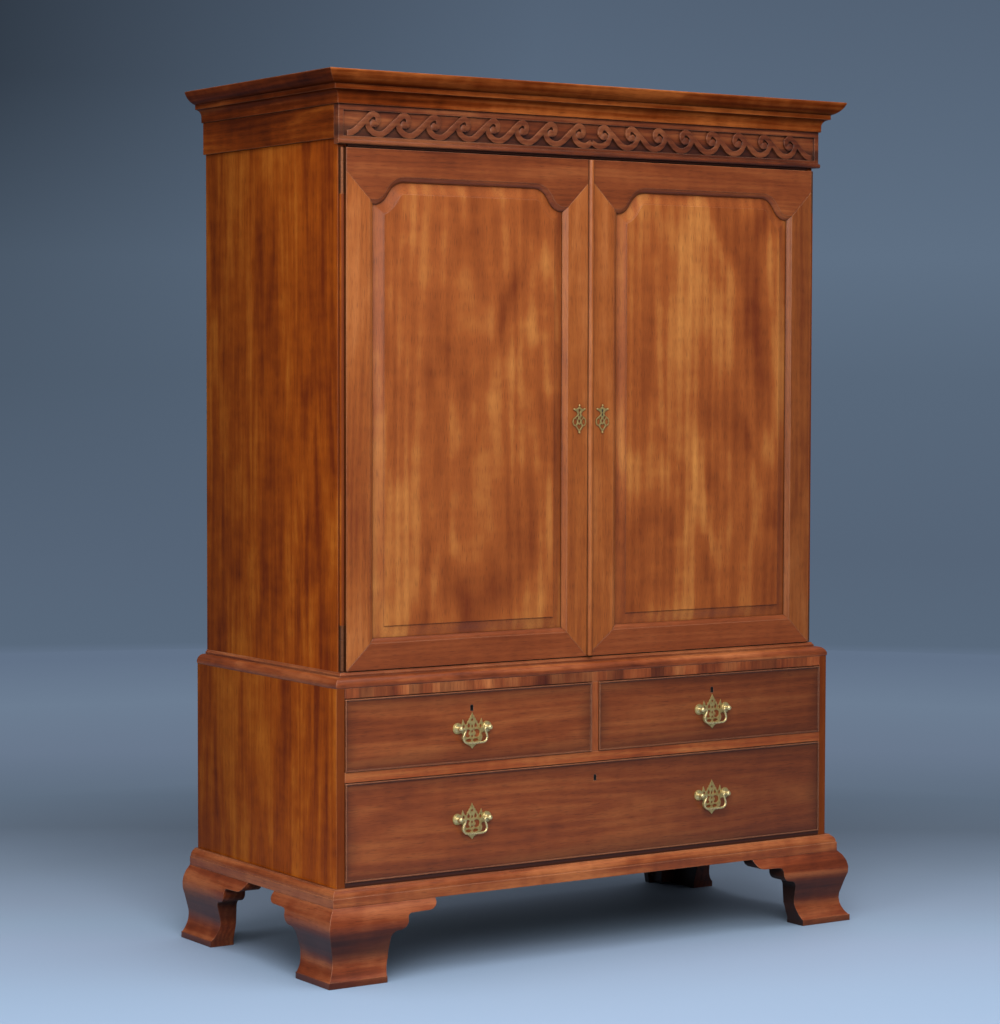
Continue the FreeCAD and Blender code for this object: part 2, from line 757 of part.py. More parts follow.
def door_frame(side, meeting):
    """The four framing pieces of a door, mitred, with the ovolo and the panel groove worked."""
    edge = side * p.door_edge
    centre = side * (p.panel_from_middle + p.panel_wide / 2)
    outer = centre + side * p.panel_wide / 2
    inner = centre - side * p.panel_wide / 2
    slab = Part.makeBox(abs(edge - meeting), p.door_thick, p.door_top - p.door_low,
                        vec(min(edge, meeting), p.door_face, p.door_low))
    rebate = p.ovolo_deep + p.panel_set_back
    hollow = between(0, -1, 0, 1, centre)
    ovolo = [(0.5, 1), (4, 2.1), (8.2, 4.6), (p.ovolo_wide, p.ovolo_deep)]
    for (inset, depth), (next_inset, next_depth) in zip(ovolo, ovolo[1:]):
        hollow = hollow.fuse(between(inset, depth, next_inset, next_depth, centre))
    hollow = hollow.fuse(between(p.ovolo_wide, p.ovolo_deep, p.ovolo_wide, p.door_thick + 1,
                                 centre))
    sunk = p.ovolo_wide - p.groove_deep
    groove = between(sunk, rebate, sunk, rebate + p.panel_thick, centre)
    if side > 0:
        mortise = lock_block(meeting, p.lock_long, p.lock_high)
    else:
        reach = p.lock_throw + p.lock_strike_gap
        mortise = lock_block(meeting - reach, reach, p.lock_bolt_high + 2 * p.lock_strike_gap)
    ring = slab.cut(hollow).cut(groove).cut(mortise)
    for start in (p.door_low, p.door_top - p.hinge_long):
        seat = Part.makeBox(p.hinge_leaf, p.door_thick - p.leaf_front_margin - p.leaf_back_margin,
                            p.hinge_long, vec(edge - p.hinge_leaf if side > 0 else edge,
                                              p.door_face + p.leaf_front_margin, start))
        ring = ring.cut(seat)
    far = p.ovolo_wide + 1
    low_corner = p.door_low + p.low_rail_deep
    cusp = cusp_level()
    shapes = {}
    for name, end, jamb in (("hinge_stile", edge, outer), ("meeting_stile", meeting, inner)):
        inward = far if jamb < centre else -far
        shapes[name] = [(end, p.door_low), (jamb, low_corner), (jamb + inward, low_corner + far),
                        (jamb + inward, cusp - far), (jamb, cusp), (end, cusp + abs(end - jamb))]
    inward = math.copysign(far, centre - outer)
    shapes["top_rail"] = [(edge, cusp + abs(edge - outer)), (outer, cusp),
                          (outer + inward, cusp - far), (inner - inward, cusp - far),
                          (inner, cusp), (meeting, cusp + abs(meeting - inner)),
                          (meeting, p.door_top), (edge, p.door_top)]
    shapes["bottom_rail"] = [(edge, p.door_low), (outer, low_corner),
                             (outer + inward, low_corner + far),
                             (inner - inward, low_corner + far), (inner, low_corner),
                             (meeting, p.door_low)]
    pieces = {}
    for name, polygon in shapes.items():
        zone = prism(polygon, lambda x, z: vec(x, p.door_face - 1, z), vec(0, p.door_thick + 2, 0))
        pieces[name] = ring.common(zone)
    return pieces, centre


def door_panel(centre):
    """The fielded panel: a flat field, a sloping margin and a tongue in the frame's groove."""
    rebate = p.ovolo_deep + p.panel_set_back
    tongue = p.ovolo_wide - p.groove_deep + p.tongue_gap
    field = p.ovolo_wide + p.field_margin
    plate = between(tongue, rebate, tongue, rebate + p.panel_thick, centre)
    slope = between(p.ovolo_wide + 1, rebate, field, p.field_deep + p.fielding_step, centre)
    raised = between(field, p.field_deep, field, rebate, centre)
    return plate.fuse([slope, raised]).removeSplitter()


def astragal():
    """The half-round moulding planted on the right door's meeting stile."""
    body = new_body("right_door_astragal", y="door_face")
    left = -p.meeting_offset
    section = [(left, 0), ("arc", (left + p.astragal_wide / 2, -p.astragal_proud),
                           (left + p.astragal_wide, 0))]
    pad(body, sketch(body, "XY_Plane", [section], out="door_low + door_gap"),
        "door_top - door_low - 2 * door_gap")
    return body


MEETING = {-1: -(p.meeting_offset + p.door_gap), 1: -p.meeting_offset}
centres = {}
for side, name in ((-1, "left"), (1, "right")):
    pieces, centre = door_frame(side, MEETING[side])
    centres[side] = centre
    for piece_name, shape in pieces.items():
        node(f"{name}_door_{piece_name}", made(shape))
    node(f"{name}_door_panel", made(door_panel(centre)))
node("right_door_astragal", astragal())


# ---------------------------------------------------------------- door fittings
def diamond(x, z, wide, tall):
    """A lozenge-shaped piercing about its centre."""
    return [(x, z + tall), (x + wide, z), (x, z - tall), (x - wide, z)]


def escutcheon(side, keyed):
    """A pierced keyhole plate: a ball finial, a waisted neck and a latticed body with a point."""
    body = new_body("escutcheon", x=f"{side} * escutcheon_out", y="door_face",
                    z="door_low + lock_level - keyhole_up")
    right = [(0, 34), ("arc", (2.6, 32), (1.6, 29)), (4.5, 26), (10.5, 26.5), (10.5, 22.5),
             (5, 20), (3.6, 12), (9, 8), ("arc", (19.5, 0), (9, -10)), (4, -18), (1.8, -27),
             ("arc", (2.6, -30.5), (0, -32.5))]
    lattice = [diamond(0, -4, 3.4, 5), diamond(0, -16, 2.6, 4), diamond(-5, 4, 2, 3.2),
               diamond(5, 4, 2, 3.2), diamond(-10.5, -2, 3.6, 5.4), diamond(10.5, -2, 3.6, 5.4)]
    if keyed:
        lattice.append([(-1.4, 13), (1.4, 13), (1.4, 20), ("arc", (0, 24), (-1.4, 20))])
    paths = [chorded(path) for path in [both_halves(right)] + lattice]
    pad(body, sketch(body, "XZ_Plane", paths), "plate_thick")
    return body


def bolt(low, high, knob):
    """A round flush bolt with a small turned knob."""
    x = -(p.meeting_offset + p.bolt_out)
    y = p.door_back + p.bolt_back
    shank = Part.makeCylinder(p.bolt_thick / 2, high - low, vec(x, y, low))
    radius = p.bolt_thick / 2
    stem = Part.makeCylinder(radius / 2, p.bolt_back + 2, vec(x, y, knob), vec(0, 1, 0))
    button = Part.makeCylinder(radius, 3, vec(x, y + p.bolt_back + 1, knob), vec(0, 1, 0))
    return shank.fuse([stem, button]).removeSplitter()


def bolt_staples(levels):
    """Staples on the door's back that the bolts run through."""
    x = -(p.meeting_offset + p.bolt_out)
    y = p.door_back + p.bolt_back
    reach = p.bolt_thick / 2
    wall = p.staple_wall
    staples = []
    for level in levels:
        block = Part.makeBox(2 * (reach + wall), p.bolt_back + reach + wall, p.staple_high,
                             vec(x - reach - wall, p.door_back, level))
        bore = Part.makeCylinder(reach + p.slide_gap, p.staple_high, vec(x, y, level))
        staples.append(block.cut(bore))
    return staples


staples = bolt_staples([level for inward in (p.staple_near, p.staple_far)
                        for level in (p.door_top - inward - p.staple_high, p.door_low + inward)])
node("left_door_brasses", group(escutcheon(-1, False), *[made(shape) for shape in staples],
                                *[door_leaf(-1, start) for start in HINGE_LEVELS]))
top_end = p.door_top - p.bolt_rest
low_end = p.press_floor + p.bolt_floor_gap
node("left_door_top_bolt",
     made(bolt(top_end - p.bolt_long, top_end, p.door_top - p.bolt_knob_in)))
node("left_door_bottom_bolt",
     made(bolt(low_end, low_end + p.bolt_long, p.door_low + p.bolt_knob_in)))
lock_tunnel = lock_block(MEETING[1], p.lock_long - p.lock_wall,
                         p.lock_bolt_high + 2 * p.slide_gap, p.lock_bolt_inset - p.slide_gap)
lock_case = lock_block(MEETING[1], p.lock_long, p.lock_high).cut(lock_tunnel)
node("right_door_brasses", group(escutcheon(1, True), made(lock_case),
                                 *[door_leaf(1, start) for start in HINGE_LEVELS]))
node("right_door_lock_bolt", made(lock_block(MEETING[1] + 1, p.lock_bolt_long,
                                             p.lock_bolt_high, p.lock_bolt_inset)))

# ---------------------------------------------------------------- chest case
for side, name in ((-1, "left"), (1, "right")):
    node(f"chest_side_{name}", box(sided(side, "chest_inner", "chest_half"), ("front", "back"),
                                   ("foot_high", "chest_under")))
node("chest_top_board", box(("-press_half", "press_half"), ("sill_face", "back"),
                            ("chest_under", "chest_top")))
w = p.chest_under
waist_out = p.chest_out
waist = [(0, w), (waist_out, w), (waist_out + 1.5, w + 2.5), (waist_out + 1.5, w + 7.5),
         ("arc", (waist_out - 4, w + 17), (8, p.chest_top)), (4.5, p.chest_top),
         (4.5, p.chest_top + 5), ("arc", (2, p.chest_top + 6.8), (1, p.sill_top - 0.5)),
         (0, p.sill_top - 0.5)]
surround("waist_moulding", waist, p.press_half, p.sill_face)
node("chest_top_rail", box(("-chest_inner", "chest_inner"), ("front", "front + rail_deep"),
                           ("short_top", "chest_under")))
node("chest_middle_rail", box(("-chest_inner", "chest_inner"), ("front", "front + rail_deep"),
                              ("long_top", "short_floor")))
node("chest_bottom_board", box(("-chest_inner", "chest_inner"), ("front", "back_front"),
                               ("chest_floor - floor_thick", "chest_floor")))
node("drawer_divider", box(("-divider_wide / 2", "divider_wide / 2"),
                           ("front", "front + rail_deep"), ("short_floor", "short_top")))
runner_x = (sided(-1, "chest_inner - runner_wide", "chest_inner"),
            ("-middle_runner_wide / 2", "middle_runner_wide / 2"),
            sided(1, "chest_inner - runner_wide", "chest_inner"))
runners = [box(x, ("front + rail_deep", "back_front"), level) for x in runner_x
           for level in (("long_top", "short_floor"), ("short_top", "chest_under"))]
guide = box(("-divider_wide / 2", "divider_wide / 2"), ("front + rail_deep", "back_front"),
            ("short_floor", "short_floor + guide_high"))
node("drawer_runners", group(*runners, guide))
node("chest_back_boards", back_boards("chest_inner", "chest_floor - floor_thick",
                                      "chest_under", 5))
b = p.foot_high
base = [(0, b), (21, b), (21, b + 20), (19, b + 20.6), ("arc", (16, b + 31), (9, b + 36.5)),
        (8.5, b + p.base_moulding_high), (0, b + p.base_moulding_high)]
surround("base_moulding", base, p.chest_half, p.front)

# ---------------------------------------------------------------- ogee bracket feet
# The brackets' face is an ogee on a square pad. Their lower edge is cut to a hollow, a cusp
# and a long shallow lobe. The two brackets of a front foot are mitred at the corner.
pad_top = p.foot_pad_high
ogee = [(-p.foot_thick, 0), (p.foot_out, 0), (p.foot_out, pad_top), (p.foot_out - 3, pad_top + 1),
        ("arc", (p.foot_out - 17, pad_top + 26), (p.foot_out - 18.5, pad_top + 51)),
        (p.foot_out - 8.5, pad_top + 88),
        ("arc", (p.foot_out - 5.5, pad_top + 130), (p.foot_out - 23, p.foot_high)),
        (-p.foot_thick, p.foot_high)]
long = p.foot_pad_long
BRACKET_ROOM = 60
bracket = [(-BRACKET_ROOM, -1), (long, -1), (long, pad_top), ("arc", (long + 12, 50), (long + 15, 90)),
           ("arc", (long + 19, 104), (long + 30, 110)), (long + 40, 111),
           ("arc", (long + 53, 119), (long + 57, 134)), ("arc", (long + 60, 143), (long + 68, 146)),
           (p.foot_long - 24, 147), ("arc", (p.foot_long - 7, 154), (p.foot_long, p.foot_high + 1)),
           (-BRACKET_ROOM, p.foot_high + 1)]


OGEE_CHORDS = 5


def foot_bracket(along_x, side, corner_x, corner_y, into):
    """One ogee bracket: its face profile run along a wall and cut to the bracket's outline."""
    wide = p.foot_long + 70
    face = chorded(ogee, OGEE_CHORDS)
    edge_line = chorded(bracket)
    if along_x:
        start = corner_x + side * BRACKET_ROOM
        body = prism(face, lambda out, z: vec(start, corner_y - out, z), vec(-side * wide, 0, 0))
        shape = prism(edge_line, lambda u, z: vec(corner_x + side * (p.foot_out - u),
                                                corner_y - BRACKET_ROOM, z),
                      vec(0, 2 * BRACKET_ROOM, 0))
    else:
        start = corner_y - into * BRACKET_ROOM
        body = prism(face, lambda out, z: vec(corner_x + side * out, start, z),
                     vec(0, into * wide, 0))
        edge = corner_y - into * (p.foot_out if into > 0 else 0)
        shape = prism(edge_line, lambda u, z: vec(corner_x - BRACKET_ROOM, edge + into * u, z),
                      vec(2 * BRACKET_ROOM, 0, 0))
    return body.common(shape)


def mitre(side, corner_x, corner_y, front_part):
    """The plan area on one side of the corner's mitre."""
    reach = 400
    far = (corner_x + side * reach, corner_y - reach)
    near = (corner_x - side * reach, corner_y + reach)
    third = (corner_x - side * reach, corner_y - reach) if front_part else \
        (corner_x + side * reach, corner_y + reach)
    return prism([far, near, third], plan, UP * (p.foot_high + 5))


for side, name in ((-1, "left"), (1, "right")):
    corner_x = side * p.chest_half
    front_piece = foot_bracket(True, side, corner_x, p.front, 1).common(
        mitre(side, corner_x, p.front, True))
    side_piece = foot_bracket(False, side, corner_x, p.front, 1).common(
        mitre(side, corner_x, p.front, False))
    inside = p.chest_half - p.foot_thick
    block_x = inside - p.foot_block if side > 0 else -inside
    block = Part.makeBox(p.foot_block, p.foot_block, p.foot_high - p.block_lift,
                         vec(block_x, p.front + p.foot_thick, p.block_lift))
    node(f"foot_front_{name}", group(made(front_piece), made(side_piece), made(block)))
    rear_side = foot_bracket(False, side, corner_x, p.back, -1)
    rear_side = rear_side.common(Part.makeBox(4 * p.chest_half, p.foot_long + 10, p.foot_high,
                                              vec(-2 * p.chest_half, p.back - p.foot_long - 10, 0)))
    rear_face = p.back - p.rear_bracket_inset - p.rear_bracket_thick
    rear_board = prism([(0, 0), (50, 0), (62, 60), (105, 110), (p.rear_bracket, p.foot_high - 30),
                        (p.rear_bracket, p.foot_high), (0, p.foot_high)],
                       lambda u, z: vec(side * (inside - u), rear_face, z),
                       vec(0, p.rear_bracket_thick, 0))
    rear_block = Part.makeBox(p.foot_block, p.foot_block, p.foot_high - p.block_lift,
                              vec(block_x, rear_face - p.foot_block, p.block_lift))
    node(f"foot_rear_{name}", group(made(rear_side), made(rear_board), made(rear_block)))


# ---------------------------------------------------------------- drawers
def drawer_front(x, low, high):
    """A drawer front with a cockbead standing proud round its edge."""
    left, right = x
    board = box(x, ("front", "front + drawer_front_thick"), (low, high))
    edge = box(x, ("front - cockbead_proud", "front"), (low, high))
    inside = box((f"{left} + cockbead_thick", f"{right} - cockbead_thick"),
                 ("front - cockbead_proud - 1", "front"),
                 (f"{low} + cockbead_thick", f"{high} - cockbead_thick"))
    return fuse(board, cut(edge, inside))


def drawer_box(x, low, high):
    """Two sides, a back and a bottom board behind a drawer front."""
    left, right = x
    behind = "front + drawer_front_thick"
    rear = f"{behind} + drawer_deep"
    top = f"{high} - drawer_side_drop"
    sides = [box((left, f"{left} + drawer_side_thick"), (behind, rear), (low, top)),
             box((f"{right} - drawer_side_thick", right), (behind, rear), (low, top))]
    inner = (f"{left} + drawer_side_thick", f"{right} - drawer_side_thick")
    floor = (f"{low} + drawer_floor_lift", f"{low} + drawer_floor_lift + drawer_floor_thick")
    back_board = box(inner, (f"{rear} - drawer_side_thick", rear), (floor[1], top))
    bottom = box(inner, (behind, rear), floor)
    return group(*sides, back_board, bottom)


def handle_plate(x, level):
    """A pierced plate: a tall spire between two spirelets over a rounded body."""
    body = new_body("plate", x=x, y="front", z=level)
    reach = p.post_spacing / 2
    right = [(0, 37), (3.4, 28), (6, 27), (8, 19), (13, 17), (16, 6), (19.5, 7), (21, 13),
             (24, 20), (26.5, 11), (28, 5), (reach - 10, 7),
             ("arc", (reach, 12.5), (reach + 10, 7)), ("arc", (reach + 12.5, 0), (reach + 10, -7)),
             ("arc", (reach, -12.5), (reach - 10, -8)), (27, -14), (29, -24),
             ("arc", (25, -33), (14, -37)), ("arc", (5, -39), (0, -46))]
    piercing = [diamond(0, 20, 2.6, 4.2), diamond(0, 7, 2, 3.6), diamond(0, -5, 2, 3.6),
                diamond(0, -16, 2, 3.6), diamond(8, 8, 2.4, 6), diamond(-8, 8, 2.4, 6)]
    for flip in (-1, 1):
        piercing.append([(flip * 5, -18), (flip * 5, -8), ("arc", (flip * 11, -2), (flip * 17, -8)),
                         (flip * 17, -18)])
        piercing.append([(flip * 3, -30), (flip * 3, -25), (flip * 19, -25), (flip * 17, -30)])
    paths = [chorded(path) for path in [both_halves(right)] + piercing]
    pad(body, sketch(body, "XZ_Plane", paths), "plate_thick")
    return body


POST_FLATS = 12


def post(side, x, level):
    """A turned post with a knob, drawn with flats and drilled on its inner side for the bail."""
    out = p.post_out - p.plate_thick
    ball = p.post_ball
    turning = [(p.post_foot, 0), (p.post_foot, 1), (p.post_neck, 3), (p.post_neck, out - 0.84 * ball),
               (0.93 * ball, out - 0.42 * ball), (0.93 * ball, out + 0.42 * ball),
               (0.5 * ball, out + 0.9 * ball)]
    turns = [math.pi * (2 * flat + 1) / POST_FLATS for flat in range(POST_FLATS + 1)]
    rings = [[vec(radius * math.cos(turn), -reach, radius * math.sin(turn)) for turn in turns]
             for radius, reach in turning]
    faces = [Part.Face(Part.makePolygon(ring)) for ring in (rings[0], rings[-1])]
    for low, high in zip(rings, rings[1:]):
        for n in range(POST_FLATS):
            flat = [low[n], low[n + 1], high[n + 1], high[n], low[n]]
            faces.append(Part.Face(Part.makePolygon(flat)))
    turned = Part.makeSolid(Part.makeShell(faces))
    socket = Part.makeCylinder(p.bail_thick / 2 + p.bail_gap, ball, vec(-side * p.bail_gap, -out, 0),
                               vec(-side, 0, 0))
    piece = made(turned.cut(socket))
    for axis, formula in (("x", f"{x} + {side} * post_spacing / 2"), ("y", "front - plate_thick"),
                          ("z", level)):
        piece.setExpression(f"Placement.Base.{axis}", bound(formula))
    return piece


def handle(x, level):
    """A handle's fixed brass: the plate and its two posts."""
    return group(handle_plate(x, level), *[post(side, x, level) for side in (-1, 1)])


def bail(label, x, level):
    """A swan-necked drop handle: an eight-sided bar of short straight runs."""
    body = new_body(label, x=x, y="front - post_out", z=level)
    drop = p.bail_drop
    right = [(p.post_spacing / 2 - p.bail_end, 0), (26.4, 0), (24.8, -0.11 * drop),
             (29.6, -0.4 * drop), (31.8, -0.62 * drop), (30.4, -0.82 * drop),
             (25.5, -0.96 * drop), (20, -drop)]
    bends = right + [mirror2(point) for point in reversed(right)]
    route = sketch(body, "XZ_Plane", [bends], closed=False)
    corner = p.bail_thick / 2 / math.cos(math.pi / 8)
    turns = [math.pi * (side + 0.5) / 4 for side in range(8)]
    bar = [(corner * math.cos(turn), corner * math.sin(turn)) for turn in turns]
    section = sketch(body, "YZ_Plane", [bar], out="post_spacing / 2 - bail_end")
    pipe(body, section, route, "Right corner")
    return node(label, body)


def keyhole_outline(grow):
    """A keyhole's outline, round at the top, grown all round."""
    half = 2.2 + grow
    return chorded([(-half, -6 - grow), (half, -6 - grow), (half, 2),
                    ("arc", (0, 2 + 1.4 * half), (-half, 2))])


def keyhole_lining(x, level):
    """A brass lining let into the drawer front round the keyhole, down to the lock."""
    back = p.front + p.drawer_front_thick - p.drawer_lock_thick

    def at(u, z):
        return vec(x + u, back, level + z)

    long = vec(0, p.front - p.lining_proud - back, 0)
    return prism(keyhole_outline(p.lining_thick), at, long).cut(prism(keyhole_outline(0), at, long))


def drawer_lock(x, level):
    """The lock case, let in flush behind a drawer front's keyhole."""
    return Part.makeBox(p.drawer_lock_wide, p.drawer_lock_thick, p.drawer_lock_high,
                        vec(x - p.drawer_lock_wide / 2,
                            p.front + p.drawer_front_thick - p.drawer_lock_thick,
                            level - p.drawer_lock_drop))


def keyed_front(label, x, levels, key_x, key_level):
    """A drawer front with the seats for its keyhole's lining and its lock."""
    lining = made(prism(keyhole_outline(p.lining_thick),
                        lambda u, z: vec(key_x + u, p.front - 1, key_level + z),
                        vec(0, p.drawer_front_thick, 0)))
    return node(label, cut(drawer_front(x, *levels), lining, made(drawer_lock(key_x, key_level))))


SHORT_X = {-1: ("-chest_inner + drawer_gap", "-divider_wide / 2 - drawer_gap"),
           1: ("divider_wide / 2 + drawer_gap", "chest_inner - drawer_gap")}
LONG_X = ("-chest_inner + drawer_gap", "chest_inner - drawer_gap")
SHORT_Z = ("short_floor + slide_gap", "short_top - drawer_gap_top")
LONG_Z = ("chest_floor + slide_gap", "long_top - drawer_gap_top")
HANDLE_X = "(chest_inner + divider_wide / 2) / 2"
handle_x = (p.chest_inner + p.divider_wide / 2) / 2
SHORT_HANDLE = "short_floor + handle_short_level"
LONG_HANDLE = "chest_floor + handle_long_level"


for side, name in ((-1, "left"), (1, "right")):
    key_x = side * handle_x
    key_level = p.short_floor + p.keyhole_level
    keyed_front(f"{name}_drawer_front", SHORT_X[side], SHORT_Z, key_x, key_level)
    node(f"{name}_drawer_box", drawer_box(SHORT_X[side], *SHORT_Z))
    node(f"{name}_drawer_brasses", group(handle(f"{side} * {HANDLE_X}", SHORT_HANDLE),
                                         made(keyhole_lining(key_x, key_level)),
                                         made(drawer_lock(key_x, key_level))))
    bail(f"{name}_drawer_bail", f"{side} * {HANDLE_X}", SHORT_HANDLE)
key_level = p.chest_floor + p.long_keyhole_level
keyed_front("long_drawer_front", LONG_X, LONG_Z, 0, key_level)
node("long_drawer_box", drawer_box(LONG_X, *LONG_Z))
node("long_drawer_brasses", group(*[handle(f"{side} * {HANDLE_X}", LONG_HANDLE)
                                    for side in (-1, 1)],
                                  made(keyhole_lining(0, key_level)),
                                  made(drawer_lock(0, key_level))))
for side, name in ((-1, "left"), (1, "right")):
    bail(f"long_drawer_bail_{name}", f"{side} * {HANDLE_X}", LONG_HANDLE)

# ---------------------------------------------------------------- trays
for n in range(TRAYS):
    low = f"press_floor + tray_lift + {n} * tray_spacing"
    half = "press_inner - tray_side_gap"
    start = "door_stop + tray_front_room"
    end = "back_front - tray_back_gap"
    top = f"{low} + tray_high"
    inner = (f"-({half} - tray_board)", f"{half} - tray_board")
    tray_sides = [box(sided(side, f"{half} - tray_board", half), (start, end), (low, top))
                  for side in (-1, 1)]
    tray_front = box(inner, (start, f"{start} + tray_front_thick"),
                     (low, f"{low} + tray_front_high"))
    tray_back = box(inner, (f"{end} - tray_board", end), (low, top))
    tray_floor = box(inner, (f"{start} + tray_front_thick", f"{end} - tray_board"),
                     (low, f"{low} + tray_floor_thick"))
    node(f"tray_{n + 1}", group(*tray_sides, tray_front, tray_back, tray_floor))

# ---------------------------------------------------------------- check and write
doc.recompute()
for piece in doc.Objects:
    if "Invalid" in piece.State or "Error" in piece.State:
        raise RuntimeError(f"{piece.Name} ({piece.Label}) failed: {piece.State}")
for piece in NODES:
    if piece.Shape.isNull() or not piece.Shape.isValid() or not piece.Shape.Solids:
        raise RuntimeError(f"{piece.Label} has no valid shape")
os.makedirs("parts", exist_ok=True)
for piece in NODES:
    piece.Shape.exportStep(os.path.join("parts", piece.Label + ".step"))
whole = Part.makeCompound([piece.Shape for piece in NODES]).BoundBox
print(len(NODES), "sub-parts", round(whole.XLength, 2), round(whole.YLength, 2),
      round(whole.ZLength, 2))
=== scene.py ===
import json
import math

import bpy
from mathutils import Matrix, Vector

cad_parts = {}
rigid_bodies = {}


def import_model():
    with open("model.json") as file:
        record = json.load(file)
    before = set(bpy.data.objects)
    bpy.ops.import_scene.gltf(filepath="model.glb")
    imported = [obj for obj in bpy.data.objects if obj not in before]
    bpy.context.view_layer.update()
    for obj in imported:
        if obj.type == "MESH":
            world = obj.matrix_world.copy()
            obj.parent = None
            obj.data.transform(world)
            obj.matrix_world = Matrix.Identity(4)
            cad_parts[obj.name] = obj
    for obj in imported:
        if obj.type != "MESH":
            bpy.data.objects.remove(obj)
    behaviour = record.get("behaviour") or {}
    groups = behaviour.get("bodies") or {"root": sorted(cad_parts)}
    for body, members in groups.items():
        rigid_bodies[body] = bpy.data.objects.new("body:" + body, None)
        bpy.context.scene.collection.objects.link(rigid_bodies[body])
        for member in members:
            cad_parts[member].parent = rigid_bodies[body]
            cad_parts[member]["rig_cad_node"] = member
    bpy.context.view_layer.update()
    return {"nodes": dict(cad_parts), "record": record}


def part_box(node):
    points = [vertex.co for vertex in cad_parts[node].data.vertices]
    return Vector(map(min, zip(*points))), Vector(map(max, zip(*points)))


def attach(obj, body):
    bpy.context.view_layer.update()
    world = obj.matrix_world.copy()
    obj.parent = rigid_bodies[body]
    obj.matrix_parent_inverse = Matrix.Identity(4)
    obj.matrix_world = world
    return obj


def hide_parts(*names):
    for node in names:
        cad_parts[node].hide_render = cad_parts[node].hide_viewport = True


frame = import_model()
bpy.ops.object.select_all(action="DESELECT")

# ---------------------------------------------------------------- feet
# Ogee bracket feet, which carry the whole press. The brackets are sawn from thick mahogany,
# mitred at the front corners, glued under the base moulding and stiffened by glue blocks.


def linear(colour):
    """An sRGB hex colour as the linear colour that shaders take."""
    shares = [int(colour[n:n + 2], 16) / 255 for n in (1, 3, 5)]
    return tuple(s / 12.92 if s <= 0.04045 else ((s + 0.055) / 1.055) ** 2.4
                 for s in shares) + (1.0,)


def add(tree, kind, inputs=None, stops=(), **settings):
    """Add one shader node with its settings, its input values and its links."""
    made = tree.nodes.new(kind)
    for name, value in settings.items():
        setattr(made, name, value)
    for key, value in (inputs or {}).items():
        if isinstance(value, bpy.types.NodeSocket):
            tree.links.new(value, made.inputs[key])
        else:
            made.inputs[key].default_value = value
    for number, (position, colour) in enumerate(stops):
        band = made.color_ramp.elements
        stop = band[number] if number < 2 else band.new(position)
        stop.position = position
        stop.color = linear(colour)
    return made


